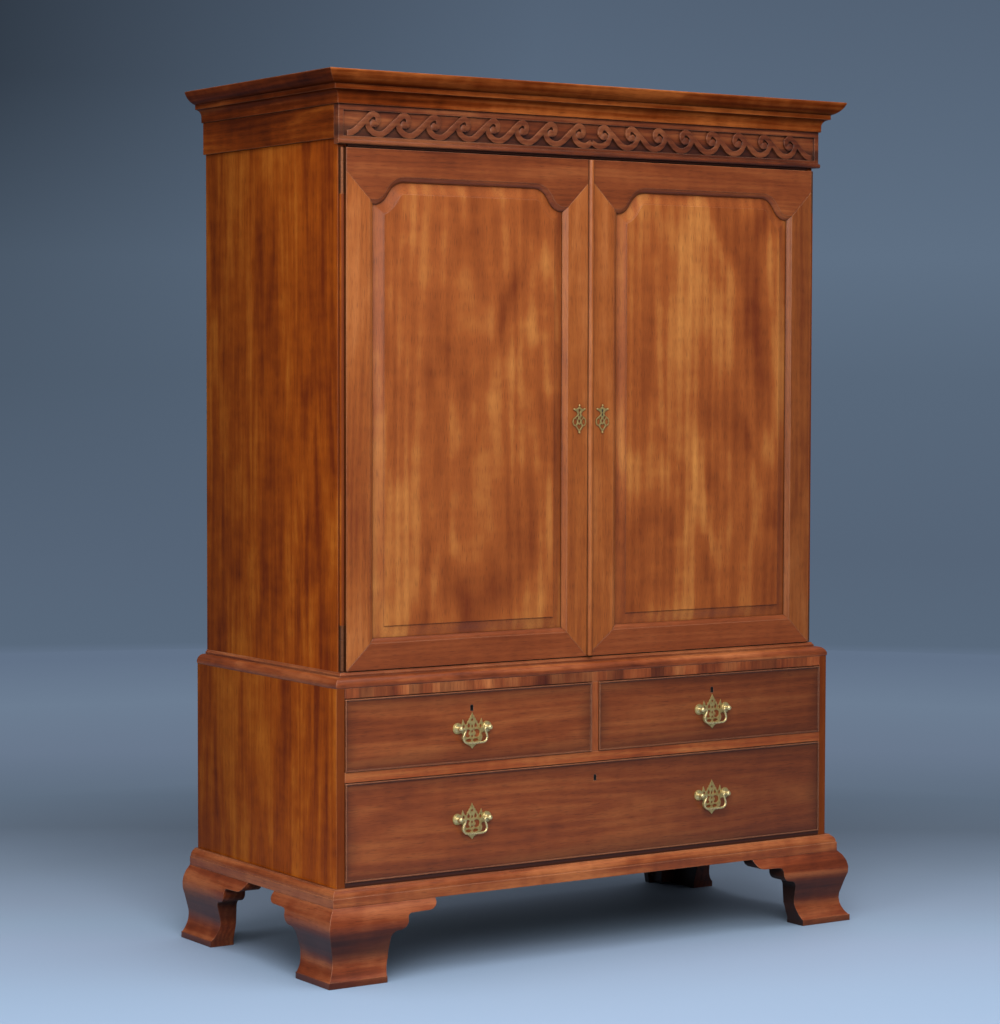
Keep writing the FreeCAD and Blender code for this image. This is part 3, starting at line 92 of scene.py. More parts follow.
def mahogany(name, fibres, dark, middle, light, shift=0.0, spread=1.0, ribbons=0.20, rings=0.05,
             crown=(0.0, 0.0, 0.0), pitch=0.013, mitre=None, border=None, light_falloff=None, near=True,
             corners=0.016, rub_and_highlight=0.5, stretch=0.16, detail=3.0, shine=1.0, dirt_and_shade="#220b04"):
    """French-polished mahogany: broad light and dark flames, growth rings drawn out along the
    fibres, ribbons and short dark pores, with painted shade in the inner corners and along
    borders, and pale arrises that are rubbed wear and a painted highlight.
    mitre gives the front corner, half width and depth, where a moulding turns along the side.
    border gives left, right, bottom and top of a board with painted shade along its edges, and
    light_falloff an axis, a start, an end and a share for a board with painted shade that deepens
    from one end to the other."""
    material = bpy.data.materials.new(name)
    material.use_nodes = True
    tree = material.node_tree
    tree.nodes.clear()
    place = add(tree, "ShaderNodeTexCoord").outputs["Object"]
    axes = add(tree, "ShaderNodeSeparateXYZ", {0: place}).outputs
    order = {"X": "YZX", "Y": "XZY", "Z": "XYZ"}[fibres]
    along = add(tree, "ShaderNodeCombineXYZ",
                {n: axes[axis] for n, axis in enumerate(order)}).outputs[0]
    if mitre:
        deep = add(tree, "ShaderNodeCombineXYZ",
                   {n: axes[axis] for n, axis in enumerate("XZY")}).outputs[0]
        aside = add(tree, "ShaderNodeMath", {0: axes["X"]}, operation="ABSOLUTE")
        past = add(tree, "ShaderNodeMath", {0: aside.outputs[0], 1: axes["Y"]})
        beside = add(tree, "ShaderNodeMath", {0: past.outputs[0], 1: mitre[0] - mitre[1]},
                     operation="GREATER_THAN")
        along = add(tree, "ShaderNodeMix", {0: beside.outputs[0], 4: along, 5: deep},
                    data_type="VECTOR").outputs[1]
    # Flames: patches about 110 mm across, and 700 mm long where stretch is 0.16.
    flame_place = add(tree, "ShaderNodeMapping",
                      {"Vector": along, "Scale": (1, 1, stretch), "Location": (shift, 0, 0)})
    flame = add(tree, "ShaderNodeTexNoise",
                {"Vector": flame_place.outputs[0], "Scale": 9.0, "Detail": detail,
                 "Roughness": 0.5, "Distortion": 1.1})
    # Ribbons: streaks about 9 mm across and 400 mm long, with lines of 2 mm in them.
    ribbon_place = add(tree, "ShaderNodeMapping",
                       {"Vector": along, "Scale": (1, 1, 0.022), "Location": (0, shift, 0)})
    ribbon = add(tree, "ShaderNodeTexNoise",
                 {"Vector": ribbon_place.outputs[0], "Scale": 110.0, "Detail": 4.0,
                  "Roughness": 0.62, "Distortion": 0.3})
    # Growth rings: pitch apart, nested round the crown of the board.
    ring_place = add(tree, "ShaderNodeMapping",
                     {"Vector": along, "Scale": (1, 1, 0.09),
                      "Location": (-crown[0], -crown[1], -0.09 * crown[2])})
    ring = add(tree, "ShaderNodeTexWave",
               {"Vector": ring_place.outputs[0], "Scale": 0.3 / pitch, "Distortion": 9.0,
                "Detail": 3.0, "Detail Scale": 0.8, "Detail Roughness": 0.45},
               wave_type="RINGS", rings_direction="SPHERICAL", wave_profile="SIN")
    # Mottle: soft cross lights about 25 mm apart, where the fibres rise and dip.
    mottle_place = add(tree, "ShaderNodeMapping", {"Vector": along, "Scale": (0.6, 0.6, 1.0)})
    mottle = add(tree, "ShaderNodeTexNoise",
                 {"Vector": mottle_place.outputs[0], "Scale": 26.0, "Detail": 2.0,
                  "Roughness": 0.5})
    # Pores: really 0.2 mm wide, drawn 1.2 mm wide and 25 mm long so that they show.
    pore_place = add(tree, "ShaderNodeMapping", {"Vector": along, "Scale": (1, 1, 0.05)})
    pore = add(tree, "ShaderNodeTexNoise",
               {"Vector": pore_place.outputs[0], "Scale": 820.0, "Detail": 1.0})
    parts = ((flame, 0.55), (ribbon, ribbons), (ring, rings), (mottle, 0.14))
    tone = 0.0
    for part, share in parts:
        tone = add(tree, "ShaderNodeMath", {0: part.outputs["Fac"], 1: share, 2: tone},
                   operation="MULTIPLY_ADD").outputs[0]
    # The darkest and lightest wood lie this far to each side of the middle tone.
    reach = 0.13 / spread
    middle_tone = sum(share for part, share in parts) / 2
    shade = add(tree, "ShaderNodeMapRange",
                {"Value": tone, "From Min": middle_tone - reach,
                 "From Max": middle_tone + reach})
    colour = add(tree, "ShaderNodeValToRGB", {"Fac": shade.outputs[0]},
                 stops=((0.0, dark), (1.0, light), (0.5, middle)))
    pore_depth = add(tree, "ShaderNodeMapRange",
                     {"Value": pore.outputs["Fac"], "From Min": 0.55, "From Max": 0.70,
                      "To Max": 0.38})
    soiled = add(tree, "ShaderNodeMix",
                 {0: pore_depth.outputs[0], 6: colour.outputs["Color"], 7: linear(dirt_and_shade)},
                 data_type="RGBA")
    # Painted shade in the inner corners, as far out as corners says, where occlusion is found.
    corner = add(tree, "ShaderNodeAmbientOcclusion", {"Distance": corners}, samples=6,
                 only_local=near)
    corner_shade = add(tree, "ShaderNodeMapRange",
                {"Value": corner.outputs["AO"], "From Min": 0.40, "From Max": 0.92,
                 "To Min": 0.80, "To Max": 0.0})
    shade_and_wear = add(tree, "ShaderNodeMix",
               {0: corner_shade.outputs[0], 6: soiled.outputs[2], 7: linear(dirt_and_shade)}, data_type="RGBA")
    # Painted shade along the edges of the board that border gives.
    if border:
        gaps = [add(tree, "ShaderNodeMath", {0: axes[axis], 1: value},
                    operation="SUBTRACT") for axis, value in zip("XXZZ", border)]
        gaps = [add(tree, "ShaderNodeMath", {0: gap.outputs[0]}, operation="ABSOLUTE")
                for gap in gaps]
        nearest = gaps[0]
        for gap in gaps[1:]:
            nearest = add(tree, "ShaderNodeMath", {0: nearest.outputs[0], 1: gap.outputs[0]},
                          operation="MINIMUM")
        nearest = add(tree, "ShaderNodeMath", {0: flame.outputs["Fac"], 1: -0.05,
                                               2: nearest.outputs[0]}, operation="MULTIPLY_ADD")
        edge = add(tree, "ShaderNodeMapRange",
                   {"Value": nearest.outputs[0], "From Min": -0.030, "From Max": 0.020,
                    "To Min": 0.42, "To Max": 0.0}, interpolation_type="SMOOTHSTEP")
        shade_and_wear = add(tree, "ShaderNodeMix",
                   {0: edge.outputs[0], 6: shade_and_wear.outputs[2], 7: linear(dirt_and_shade)}, data_type="RGBA")
    # Painted shade that deepens along an axis, where the light falls off.
    if light_falloff:
        axis, start, end, share = light_falloff
        falloff_share = add(tree, "ShaderNodeMapRange",
                     {"Value": axes[axis], "From Min": start, "From Max": end,
                      "To Max": share}, interpolation_type="SMOOTHSTEP")
        shade_and_wear = add(tree, "ShaderNodeMix",
                   {0: falloff_share.outputs[0], 6: shade_and_wear.outputs[2], 7: linear(dirt_and_shade)}, data_type="RGBA")
    # Outer edges are rubbed pale by hands and dusters, and painted pale as a highlight too.
    arris = add(tree, "ShaderNodeBevel", {"Radius": 0.0024}, samples=4)
    true_way = add(tree, "ShaderNodeNewGeometry")
    alike = add(tree, "ShaderNodeVectorMath",
                {0: arris.outputs[0], 1: true_way.outputs["Normal"]}, operation="DOT_PRODUCT")
    open_air = add(tree, "ShaderNodeMapRange",
                   {"Value": corner.outputs["AO"], "From Min": 0.72, "From Max": 0.95})
    rubbed_and_lit = add(tree, "ShaderNodeMapRange",
                 {"Value": alike.outputs["Value"], "From Min": 0.985, "From Max": 0.86,
                  "To Max": rub_and_highlight})
    rubbed_and_lit = add(tree, "ShaderNodeMath", {0: rubbed_and_lit.outputs[0], 1: open_air.outputs[0]},
                 operation="MULTIPLY")
    shade_and_wear = add(tree, "ShaderNodeMix",
               {0: rubbed_and_lit.outputs[0], 6: shade_and_wear.outputs[2], 7: linear("#c08c6c")},
               data_type="RGBA")
    gloss = add(tree, "ShaderNodeMapRange",
                {"Value": flame.outputs["Fac"], "From Min": 0.3, "From Max": 0.7,
                 "To Min": 0.34, "To Max": 0.46})
    relief = add(tree, "ShaderNodeBump",
                 {"Height": ribbon.outputs["Fac"], "Strength": 0.10, "Distance": 0.0003,
                  "Normal": arris.outputs[0]})
    wood = add(tree, "ShaderNodeBsdfPrincipled",
               {"Base Color": shade_and_wear.outputs[2], "Roughness": gloss.outputs[0],
                "Normal": relief.outputs[0], "IOR": 1.5, "Specular IOR Level": 0.34 * shine,
                "Coat Weight": 0.12 * shine, "Coat Roughness": 0.24}, name="wood")
    add(tree, "ShaderNodeOutputMaterial", {"Surface": wood.outputs[0]})
    return material


def reopened(material):
    """The nodes of a made wood, its place by axis, and the colour that it has so far."""
    tree = material.node_tree
    place = add(tree, "ShaderNodeTexCoord").outputs["Object"]
    axes = add(tree, "ShaderNodeSeparateXYZ", {0: place}).outputs
    return tree, axes, tree.nodes["wood"].inputs["Base Color"].links[0].from_socket


def recoloured(material, colour):
    """Give a made wood another colour socket."""
    tree = material.node_tree
    tree.links.new(colour, tree.nodes["wood"].inputs["Base Color"])
    return material


def shade_band(material, level, core, reach, share, colour):
    """Darken a wood round a level, as painted shade in a hollow."""
    tree, axes, under = reopened(material)
    above = add(tree, "ShaderNodeMath", {0: axes["Z"], 1: level}, operation="SUBTRACT")
    off = add(tree, "ShaderNodeMath", {0: above.outputs[0]}, operation="ABSOLUTE")
    depth = add(tree, "ShaderNodeMapRange",
                {"Value": off.outputs[0], "From Min": core, "From Max": reach,
                 "To Min": share, "To Max": 0.0}, interpolation_type="SMOOTHSTEP")
    deep = add(tree, "ShaderNodeMix",
               {0: depth.outputs[0], 6: under, 7: linear(colour)}, data_type="RGBA")
    return recoloured(material, deep.outputs[2])


def shade_by_facing(material, starts, full, share, colour, inward=False):
    """Mix a colour in as painted shade on faces that look to the front (-Y), or with inward set,
    on those that look to the middle of the press or backwards."""
    tree, axes, under = reopened(material)
    way = add(tree, "ShaderNodeSeparateXYZ",
              {0: add(tree, "ShaderNodeNewGeometry").outputs["Normal"]})
    looks = add(tree, "ShaderNodeMath", {0: way.outputs["Y"], 1: -1.0}, operation="MULTIPLY")
    if inward:
        side = add(tree, "ShaderNodeMath", {0: axes["X"]}, operation="SIGN")
        outward = add(tree, "ShaderNodeMath", {0: way.outputs["X"], 1: side.outputs[0]},
                      operation="MULTIPLY")
        looks = add(tree, "ShaderNodeMath", {0: looks.outputs[0], 1: outward.outputs[0]},
                    operation="MINIMUM")
        looks = add(tree, "ShaderNodeMath", {0: looks.outputs[0], 1: -1.0},
                    operation="MULTIPLY")
    depth = add(tree, "ShaderNodeMapRange",
                {"Value": looks.outputs[0], "From Min": starts, "From Max": full,
                 "To Max": share})
    mixed = add(tree, "ShaderNodeMix",
                {0: depth.outputs[0], 6: under, 7: linear(colour)}, data_type="RGBA")
    return recoloured(material, mixed.outputs[2])


# The body that each frame node moves with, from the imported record.
BODY_OF = {node: body for body, nodes in frame["record"]["behaviour"]["bodies"].items()
           for node in nodes}


def duplicated(source):
    """A copy of an object with a mesh of its own, and alone selected."""
    bpy.ops.object.select_all(action="DESELECT")
    source.select_set(True)
    bpy.context.view_layer.objects.active = source
    bpy.ops.object.duplicate()
    return bpy.context.object


def edit_whole():
    """Open the active mesh for editing, all of it selected."""
    bpy.ops.object.mode_set(mode="EDIT")
    bpy.ops.mesh.select_all(action="SELECT")


def copied(name, glued=False, shaped=False):
    """A copy of a frame solid as one sound mesh, to be dressed and to stand for it.
    glued joins the runs of a mitred piece, and shaped keeps the facets of a curved one."""
    piece = duplicated(frame["nodes"][name])
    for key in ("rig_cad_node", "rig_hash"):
        if key in piece:
            del piece[key]
    edit_whole()
    bpy.ops.mesh.remove_doubles(threshold=0.00001)
    if glued:
        bpy.ops.mesh.select_all(action="DESELECT")
        bpy.ops.mesh.select_mode(type="FACE")
        bpy.ops.mesh.select_interior_faces()
        bpy.ops.mesh.delete(type="FACE")
        bpy.ops.mesh.select_all(action="SELECT")
    if not shaped:
        bpy.ops.mesh.dissolve_limited(angle_limit=math.radians(0.5))
    bpy.ops.object.mode_set(mode="OBJECT")
    return piece


def applied(piece, kind, **settings):
    """Give the active piece a modifier with these settings, and apply it."""
    change = piece.modifiers.new(kind.lower(), kind)
    for name, value in settings.items():
        setattr(change, name, value)
    bpy.ops.object.modifier_apply(modifier=change.name)


def finished(piece, title, node, material):
    """Name a piece, give it its material, and let it move with and stand for its node."""
    piece.name = title
    piece.data.name = title
    piece.data.materials.clear()
    piece.data.materials.append(material)
    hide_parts(node)
    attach(piece, BODY_OF[node])


def eased(name, material, edge=0.0008, glued=False, shaped=False):
    """Let a copy of a frame solid stand for it, with its sharp edges eased as wear does. Its
    broad faces stay flat in the shading."""
    piece = copied(name, glued, shaped)
    applied(piece, "BEVEL", width=edge, segments=2, limit_method="ANGLE",
            angle_limit=math.radians(38))
    bpy.ops.object.shade_smooth_by_angle(angle=math.radians(34))
    applied(piece, "WEIGHTED_NORMAL", keep_sharp=True)
    finished(piece, f"{name}_piece", name, material)


# Where the chest's mouldings and feet turn the corner: half its width, and its front.
CHEST_CORNER = (0.688, 0.302)
# The feet get a painted shade band round the hollow of the ogee.
foot_wood = shade_band(mahogany("mahogany_feet", "X", "#471a0c", "#7e3819", "#a55d36", shift=4.1,
                               mitre=CHEST_CORNER, corners=0.06, near=False, shine=0.85),
                      level=0.086, core=0.012, reach=0.052, share=0.72, colour="#2a110a")
# Painted shade, near black, on the faces of the feet that look inwards or backwards.
shade_by_facing(foot_wood, starts=0.35, full=0.6, share=0.85, colour="#120a07", inward=True)
for node in ("foot_front_left", "foot_front_right"):
    eased(node, foot_wood, edge=0.0016, glued=True)
for node in ("foot_rear_left", "foot_rear_right"):
    eased(node, foot_wood, edge=0.0016)

# ---------------------------------------------------------------- chest case
# The lower stage: two upright mahogany boards joined by rails, a divider and a top board.
# Its boards are planed, scraped, stained and polished with shellac, and their edges are worn.
# The sides get painted shade that deepens towards the back.
side_wood = mahogany("mahogany_sides", "Z", "#752d09", "#a44d0f", "#c66f22", shift=0.31,
                     light_falloff=("Y", -0.24, 0.34, 0.42), shine=0.16, dirt_and_shade="#200800")
# Faces of the sides that look to the front get a darker, duller brown: painted shade.
shade_by_facing(side_wood, starts=0.3, full=0.85, share=0.85, colour="#642e18")
rail_wood = mahogany("mahogany_rails", "X", "#66290f", "#964921", "#b46a38", shift=0.7)
post_wood = mahogany("mahogany_uprights", "Z", "#5e260e", "#87401c", "#a55c30", shift=1.7)
for node in ("chest_side_left", "chest_side_right"):
    eased(node, side_wood, edge=0.0012)
for node in ("chest_top_board", "chest_middle_rail"):
    eased(node, rail_wood)
eased("drawer_divider", post_wood)

# The rail over the drawers is veneered with short upright leaves, each from another part of
# the log, so that their colours differ a little from joint to joint.


def crossbanding():
    """Cross-grained veneer: leaves 30 to 60 mm long with upright fibres and thin joints."""
    material = mahogany("mahogany_crossbanding", "Z", "#5c2410", "#8a4522", "#b06a3c",
                        rings=0.02, shift=2.3, near=False)
    tree, axes, under = reopened(material)
    leaves = add(tree, "ShaderNodeTexVoronoi",
                 {"W": axes["X"], "Scale": 24.0, "Randomness": 0.8},
                 voronoi_dimensions="1D", feature="F1")
    shade = add(tree, "ShaderNodeSeparateColor", {0: leaves.outputs["Color"]})
    tint = add(tree, "ShaderNodeMapRange",
               {"Value": shade.outputs[0], "To Min": 0.62, "To Max": 1.25})
    tinted = add(tree, "ShaderNodeVectorMath", {0: under, 1: tint.outputs[0]},
                 operation="MULTIPLY")
    return recoloured(material, tinted.outputs[0])


eased("chest_top_rail", crossbanding())

# The hidden boards are unpolished oak, sawn and planed, grey-brown with age and dust. A lipping
# of mahogany covers the front edge of a board that shows between drawers or under a door; it is
# coloured very dark, as painted shade in those gaps.
LIPPING_BACK = -0.245


def oak(name, fibres, dark, middle, light, lipped=False):
    """Dry, unpolished oak: straight ribbons, open pores and a little dust."""
    material = mahogany(name, fibres, dark, middle, light, rings=0.08, dirt_and_shade="#3a2817")
    material.node_tree.nodes["wood"].inputs["Coat Weight"].default_value = 0.0
    if lipped:
        tree, axes, under = reopened(material)
        front = add(tree, "ShaderNodeMath", {0: axes["Y"], 1: LIPPING_BACK},
                    operation="LESS_THAN")
        edged = add(tree, "ShaderNodeMix",
                    {0: front.outputs[0], 6: under, 7: linear("#3c1a0c")}, data_type="RGBA")
        recoloured(material, edged.outputs[2])
    return material


def board_tones(material, left, pitch):
    """Give each of a row of upright boards, pitch wide from left on, a tone of its own."""
    tree, axes, under = reopened(material)
    along = add(tree, "ShaderNodeMapRange",
                {"Value": axes["X"], "From Min": left, "From Max": left + pitch}, clamp=False)
    number = add(tree, "ShaderNodeMath", {0: along.outputs[0]}, operation="FLOOR")
    chance = add(tree, "ShaderNodeTexWhiteNoise", {"W": number.outputs[0]},
                 noise_dimensions="1D")
    tint = add(tree, "ShaderNodeMapRange",
               {"Value": chance.outputs["Value"], "To Min": 0.72, "To Max": 1.2})
    tinted = add(tree, "ShaderNodeVectorMath", {0: under, 1: tint.outputs[0]},
                 operation="MULTIPLY")
    return recoloured(material, tinted.outputs[0])


oak_deep = oak("oak_front_to_back", "Y", "#6b5132", "#8d6e47", "#a5865c")
oak_across = oak("oak_across", "X", "#654b2d", "#876842", "#a08158")
oak_lipped = oak("oak_lipped", "X", "#654b2d", "#876842", "#a08158", lipped=True)
BACK_BOARDS = 5
for node in ("press_back_boards", "chest_back_boards"):
    low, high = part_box(node)
    boards = oak(f"oak_of_{node}", "Z", "#5a442b", "#7c6243", "#9a815c")
    eased(node, board_tones(boards, low[0], (high[0] - low[0]) / BACK_BOARDS), edge=0.0022)
eased("drawer_runners", oak_deep)
eased("chest_bottom_board", oak_lipped)

# ---------------------------------------------------------------- base and waist mouldings
# Solid mahogany mouldings, run with moulding planes, mitred at the front corners and glued
# round both sides and the front. The upper one covers the joint between the two stages.
moulding_wood = mahogany("mahogany_mouldings", "X", "#52200c", "#86401c", "#b06638", shift=5.2,
                         mitre=CHEST_CORNER, near=False, corners=0.020)
for node in ("base_moulding", "waist_moulding"):
    eased(node, moulding_wood, edge=0.0007, glued=True)

# ---------------------------------------------------------------- drawers
# Two short drawers over a long one: mahogany fronts with painted shade along their edges by
# the proud cockbeads and towards their right ends, on oak sides, backs and bottoms.


def dovetailed(material, low, high):
    """Let the ends of the oak sides show, as lapped dovetails, in the ends of a drawer front."""
    lap, root = -0.298, -0.281                  # where the tails end and where they start
    narrow, wide = 0.0012, 0.0046               # half a pin at the lap and at the root
    tails = round((high - low) / 0.038)         # about 38 mm apart
    tree, axes, under = reopened(material)
    above = add(tree, "ShaderNodeMath", {0: axes["Z"], 1: low}, operation="SUBTRACT")
    from_pin = add(tree, "ShaderNodeMath", {0: above.outputs[0], 1: (high - low) / tails / 2},
                   operation="PINGPONG")
    pin = add(tree, "ShaderNodeMapRange",
              {"Value": axes["Y"], "From Min": lap, "From Max": root,
               "To Min": narrow, "To Max": wide})
    tail = add(tree, "ShaderNodeMath", {0: from_pin.outputs[0], 1: pin.outputs[0]},
               operation="GREATER_THAN")
    behind = add(tree, "ShaderNodeMath", {0: axes["Y"], 1: lap},
                 operation="GREATER_THAN")
    way = add(tree, "ShaderNodeSeparateXYZ",
              {0: add(tree, "ShaderNodeNewGeometry").outputs["True Normal"]})
    aside = add(tree, "ShaderNodeMath", {0: way.outputs["X"]}, operation="ABSOLUTE")
    ends = add(tree, "ShaderNodeMath", {0: aside.outputs[0], 1: 0.9}, operation="GREATER_THAN")
    both = add(tree, "ShaderNodeMath", {0: tail.outputs[0], 1: behind.outputs[0]},
               operation="MULTIPLY")
    shown = add(tree, "ShaderNodeMath", {0: both.outputs[0], 1: ends.outputs[0]},
                operation="MULTIPLY")
    laid = add(tree, "ShaderNodeMix",
               {0: shown.outputs[0], 6: under, 7: linear("#967850")}, data_type="RGBA")
    return recoloured(material, laid.outputs[2])


# The drawer fronts' arrises and cockbeads are painted pale: rubbed wear and a painted highlight.
for side, crown in (("left", (-0.3, 0.70, -0.35)), ("right", (-0.3, 0.62, 0.30)),
                    ("long", (-0.3, 0.33, -0.22))):
    low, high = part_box(f"{side}_drawer_front")
    wood = mahogany(f"mahogany_{side}_drawer", "X", "#5b270e", "#84401c", "#a65e30",
                    shift=6.4 + crown[2], rings=0.07, pitch=0.020, crown=crown,
                    border=(low[0], high[0], low[2], high[2]), spread=0.6,
                    light_falloff=("X", -0.35, 0.66, 0.30), rub_and_highlight=0.95)
    eased(f"{side}_drawer_front", dovetailed(wood, low[2], high[2]), edge=0.0012)
    for held in frame["nodes"][f"{side}_drawer_box"].material_slots:
        held.material = oak_deep

# ---------------------------------------------------------------- cupboard case
# The upper stage stands loose on the chest: polished mahogany sides, with an oak top and bottom
# between them, and a back of oak boards nailed on behind.
for node in ("press_side_left", "press_side_right"):
    eased(node, side_wood, edge=0.0012)
for node in ("press_top_board", "press_bottom_board"):
    eased(node, oak_lipped)
eased("tray_runners", oak_deep)

# ---------------------------------------------------------------- linen trays
# Four oak trays with low fronts slide on runners screwed inside the cupboard. Their thin boards
# are sawn, planed and left unpolished, and show only when the doors stand open.
for node in ("tray_1", "tray_2", "tray_3", "tray_4"):
    for held in frame["nodes"][node].material_slots:
        held.material = oak_across

# ---------------------------------------------------------------- doors
# Framed doors: mitred stiles and rails with an ovolo round a fielded panel, which is sawn from
# wood with a broader figure than the frame's, and lighter in colour.
# The stiles get painted shade that deepens towards the right, where the light falls off.
stile_wood = mahogany("mahogany_stiles", "Z", "#6e2d11", "#9b5322", "#bb723c", shift=7.7,
                      light_falloff=("X", 0.10, 0.60, 0.26), spread=0.6, near=False, corners=0.020)
door_rail_wood = mahogany("mahogany_door_rails", "X", "#54210c", "#7e3d1a", "#9c582c", shift=8.8,
                          spread=0.7, near=False, corners=0.020)
# The bottom rails take a lighter copy of the rail wood: painted light.
lit_low_rail_wood = mahogany("mahogany_low_rails_lit", "X", "#5a240d", "#84401c", "#a25a30", shift=8.1,
                         spread=0.5, near=False, corners=0.013)
panel_wood = mahogany("mahogany_panels", "Z", "#6c2c0d", "#9a5020", "#c5803e", rings=0.055,
                      ribbons=0.09, crown=(-0.33, -0.2, 0.9), pitch=0.026, shift=9.3,
                      spread=0.62, stretch=0.30, detail=1.2, near=False, corners=0.022,
                      rub_and_highlight=0.10)
for side in ("left", "right"):
    for part in ("hinge_stile", "meeting_stile"):
        eased(f"{side}_door_{part}", stile_wood, edge=0.0006)
    eased(f"{side}_door_bottom_rail", lit_low_rail_wood, edge=0.0006)
    eased(f"{side}_door_top_rail", door_rail_wood, edge=0.0006, shaped=True)
    eased(f"{side}_door_panel", panel_wood, edge=0.0005, shaped=True)
eased("right_door_astragal", stile_wood, edge=0.0006)

# ---------------------------------------------------------------- frieze and cornice
# A running scroll sawn and carved from thin mahogany, glued on the sunk ground of the frieze
# board, between the cupboard and a cornice of solid moulded mahogany.
# The sunk ground gets a painted shade band over its lower part.
ground_wood = shade_band(mahogany("mahogany_frieze_ground", "X", "#3c1608", "#6c3114", "#90502a",
                                 shift=3.3, near=False, corners=0.010),
                        level=1.853, core=0.006, reach=0.019, share=0.66, colour="#24110c")
scroll_wood = mahogany("mahogany_scroll", "X", "#42190b", "#673118", "#864b2a", shift=3.9,
                       rub_and_highlight=0.25)
# The cornice's hollows get deep painted shade.
cornice_wood = mahogany("mahogany_cornice", "X", "#3e1605", "#702f0e", "#a05626", shift=5.9,
                        mitre=(0.669, 0.280), near=False, corners=0.036, shine=0.08)
eased("frieze_front", ground_wood, edge=0.0006)
eased("frieze_sides", mahogany("mahogany_frieze_sides", "Y", "#4c1c05", "#743108", "#904814",
                               shift=2.9, shine=0.16), edge=0.0006)
# The strands of the scroll are carved broad and rounded, 3 mm wider than they are sawn, and
# thinned again so that they stay behind the bead of the frieze.
SCROLL_MIDDLE = -0.2735
scroll = copied("frieze_scroll", shaped=True)
edit_whole()
bpy.ops.transform.shrink_fatten(value=0.0015, use_even_offset=True)
bpy.ops.transform.resize(value=(1, 0.82, 1), center_override=(0, SCROLL_MIDDLE, 0))
bpy.ops.object.mode_set(mode="OBJECT")
applied(scroll, "BEVEL", width=0.0026, segments=3, limit_method="ANGLE",
        angle_limit=math.radians(50))
bpy.ops.object.shade_smooth_by_angle(angle=math.radians(50))
finished(scroll, "frieze_scroll_piece", "frieze_scroll", scroll_wood)
eased("cornice_moulding", cornice_wood, edge=0.0007, glued=True)
eased("cornice_dust_board", oak_across)

# ---------------------------------------------------------------- brasses
# Handles, keyhole plates and hinges are cast in brass from patterns, pierced and filed by hand,
# polished and long since mellowed. Pins through the wood and small nails hold them.


def cast_brass(name, bright, dull, rough, metal=0.7):
    """Cast brass: a mellow polished face, with brown tarnish where cloths don't reach."""
    material = bpy.data.materials.new(name)
    material.use_nodes = True
    tree = material.node_tree
    tree.nodes.clear()
    place = add(tree, "ShaderNodeTexCoord").outputs["Object"]
    # Stains: cloudy spots about 6 mm across.
    stain = add(tree, "ShaderNodeTexNoise", {"Vector": place, "Scale": 160.0, "Detail": 3.0})
    corner = add(tree, "ShaderNodeAmbientOcclusion", {"Distance": 0.003}, samples=6,
                 only_local=True)
    tarnish = add(tree, "ShaderNodeMapRange",
                  {"Value": corner.outputs["AO"], "From Min": 0.30, "From Max": 0.8,
                   "To Min": 0.80, "To Max": 0.0})
    speck = add(tree, "ShaderNodeMapRange",
                {"Value": stain.outputs["Fac"], "From Min": 0.48, "From Max": 0.78,
                 "To Max": 0.5})
    most = add(tree, "ShaderNodeMath", {0: tarnish.outputs[0], 1: speck.outputs[0]},
               operation="MAXIMUM")
    colour = add(tree, "ShaderNodeMix",
                 {0: most.outputs[0], 6: linear(bright), 7: linear(dull)}, data_type="RGBA")
    gloss = add(tree, "ShaderNodeMapRange",
                {"Value": most.outputs[0], "To Min": rough, "To Max": rough + 0.25})
    cast = add(tree, "ShaderNodeBsdfPrincipled",
               {"Base Color": colour.outputs[2], "Metallic": metal,
                "Roughness": gloss.outputs[0]})
    add(tree, "ShaderNodeOutputMaterial", {"Surface": cast.outputs[0]})
    return material


brass = cast_brass("brass_cast", "#d8c48c", "#6a522a", 0.27)
plate_brass = cast_brass("brass_plate", "#bfa66a", "#54401d", 0.38)
dark_brass = cast_brass("brass_tarnished", "#744428", "#38200f", 0.42)
steel = cast_brass("steel_forged", "#8c8a88", "#3c3835", 0.42, metal=1.0)
# Lock cases blackened by oil and dust, seen only through the keyholes.
lock_steel = cast_brass("steel_blackened", "#1a1613", "#0c0a08", 0.65, metal=0.0)


def pierced(outline, holes, place, thick=0.002):
    """A flat pierced casting with filed edges. Its points are in millimetres from place, on
    the front face, and a third number of 1 marks a sharp corner."""
    bpy.ops.object.select_all(action="DESELECT")
    bpy.ops.curve.primitive_bezier_curve_add()
    flat = bpy.context.object
    filed = 0.0003
    flat.data.dimensions = "2D"
    flat.data.fill_mode = "BOTH"
    flat.data.extrude = thick / 2 - filed
    flat.data.bevel_depth = filed
    flat.data.bevel_resolution = 1
    flat.data.offset = -filed
    flat.data.splines.clear()
    for path in [outline] + holes:
        spline = flat.data.splines.new("BEZIER")
        spline.use_cyclic_u = True
        spline.resolution_u = 5
        spline.bezier_points.add(len(path) - 1)     # the first one is there already
        for point, (x, z, *sharp) in zip(spline.bezier_points, path):
            point.co = (x / 1000, z / 1000, 0)
        for point, (x, z, *sharp) in zip(spline.bezier_points, path):
            point.handle_left_type = "VECTOR" if sharp else "AUTO"
            point.handle_right_type = "VECTOR" if sharp else "AUTO"
    bpy.ops.object.convert(target="MESH")
    flat = bpy.context.object
    flat.rotation_euler = (math.radians(90), 0, 0)
    flat.location = (place[0], place[1] - thick / 2, place[2])
    bpy.ops.object.transform_apply(location=True, rotation=True, scale=True)
    edit_whole()
    bpy.ops.mesh.remove_doubles(threshold=0.00002)
    bpy.ops.mesh.normals_make_consistent(inside=False)
    bpy.ops.object.mode_set(mode="OBJECT")
    return flat


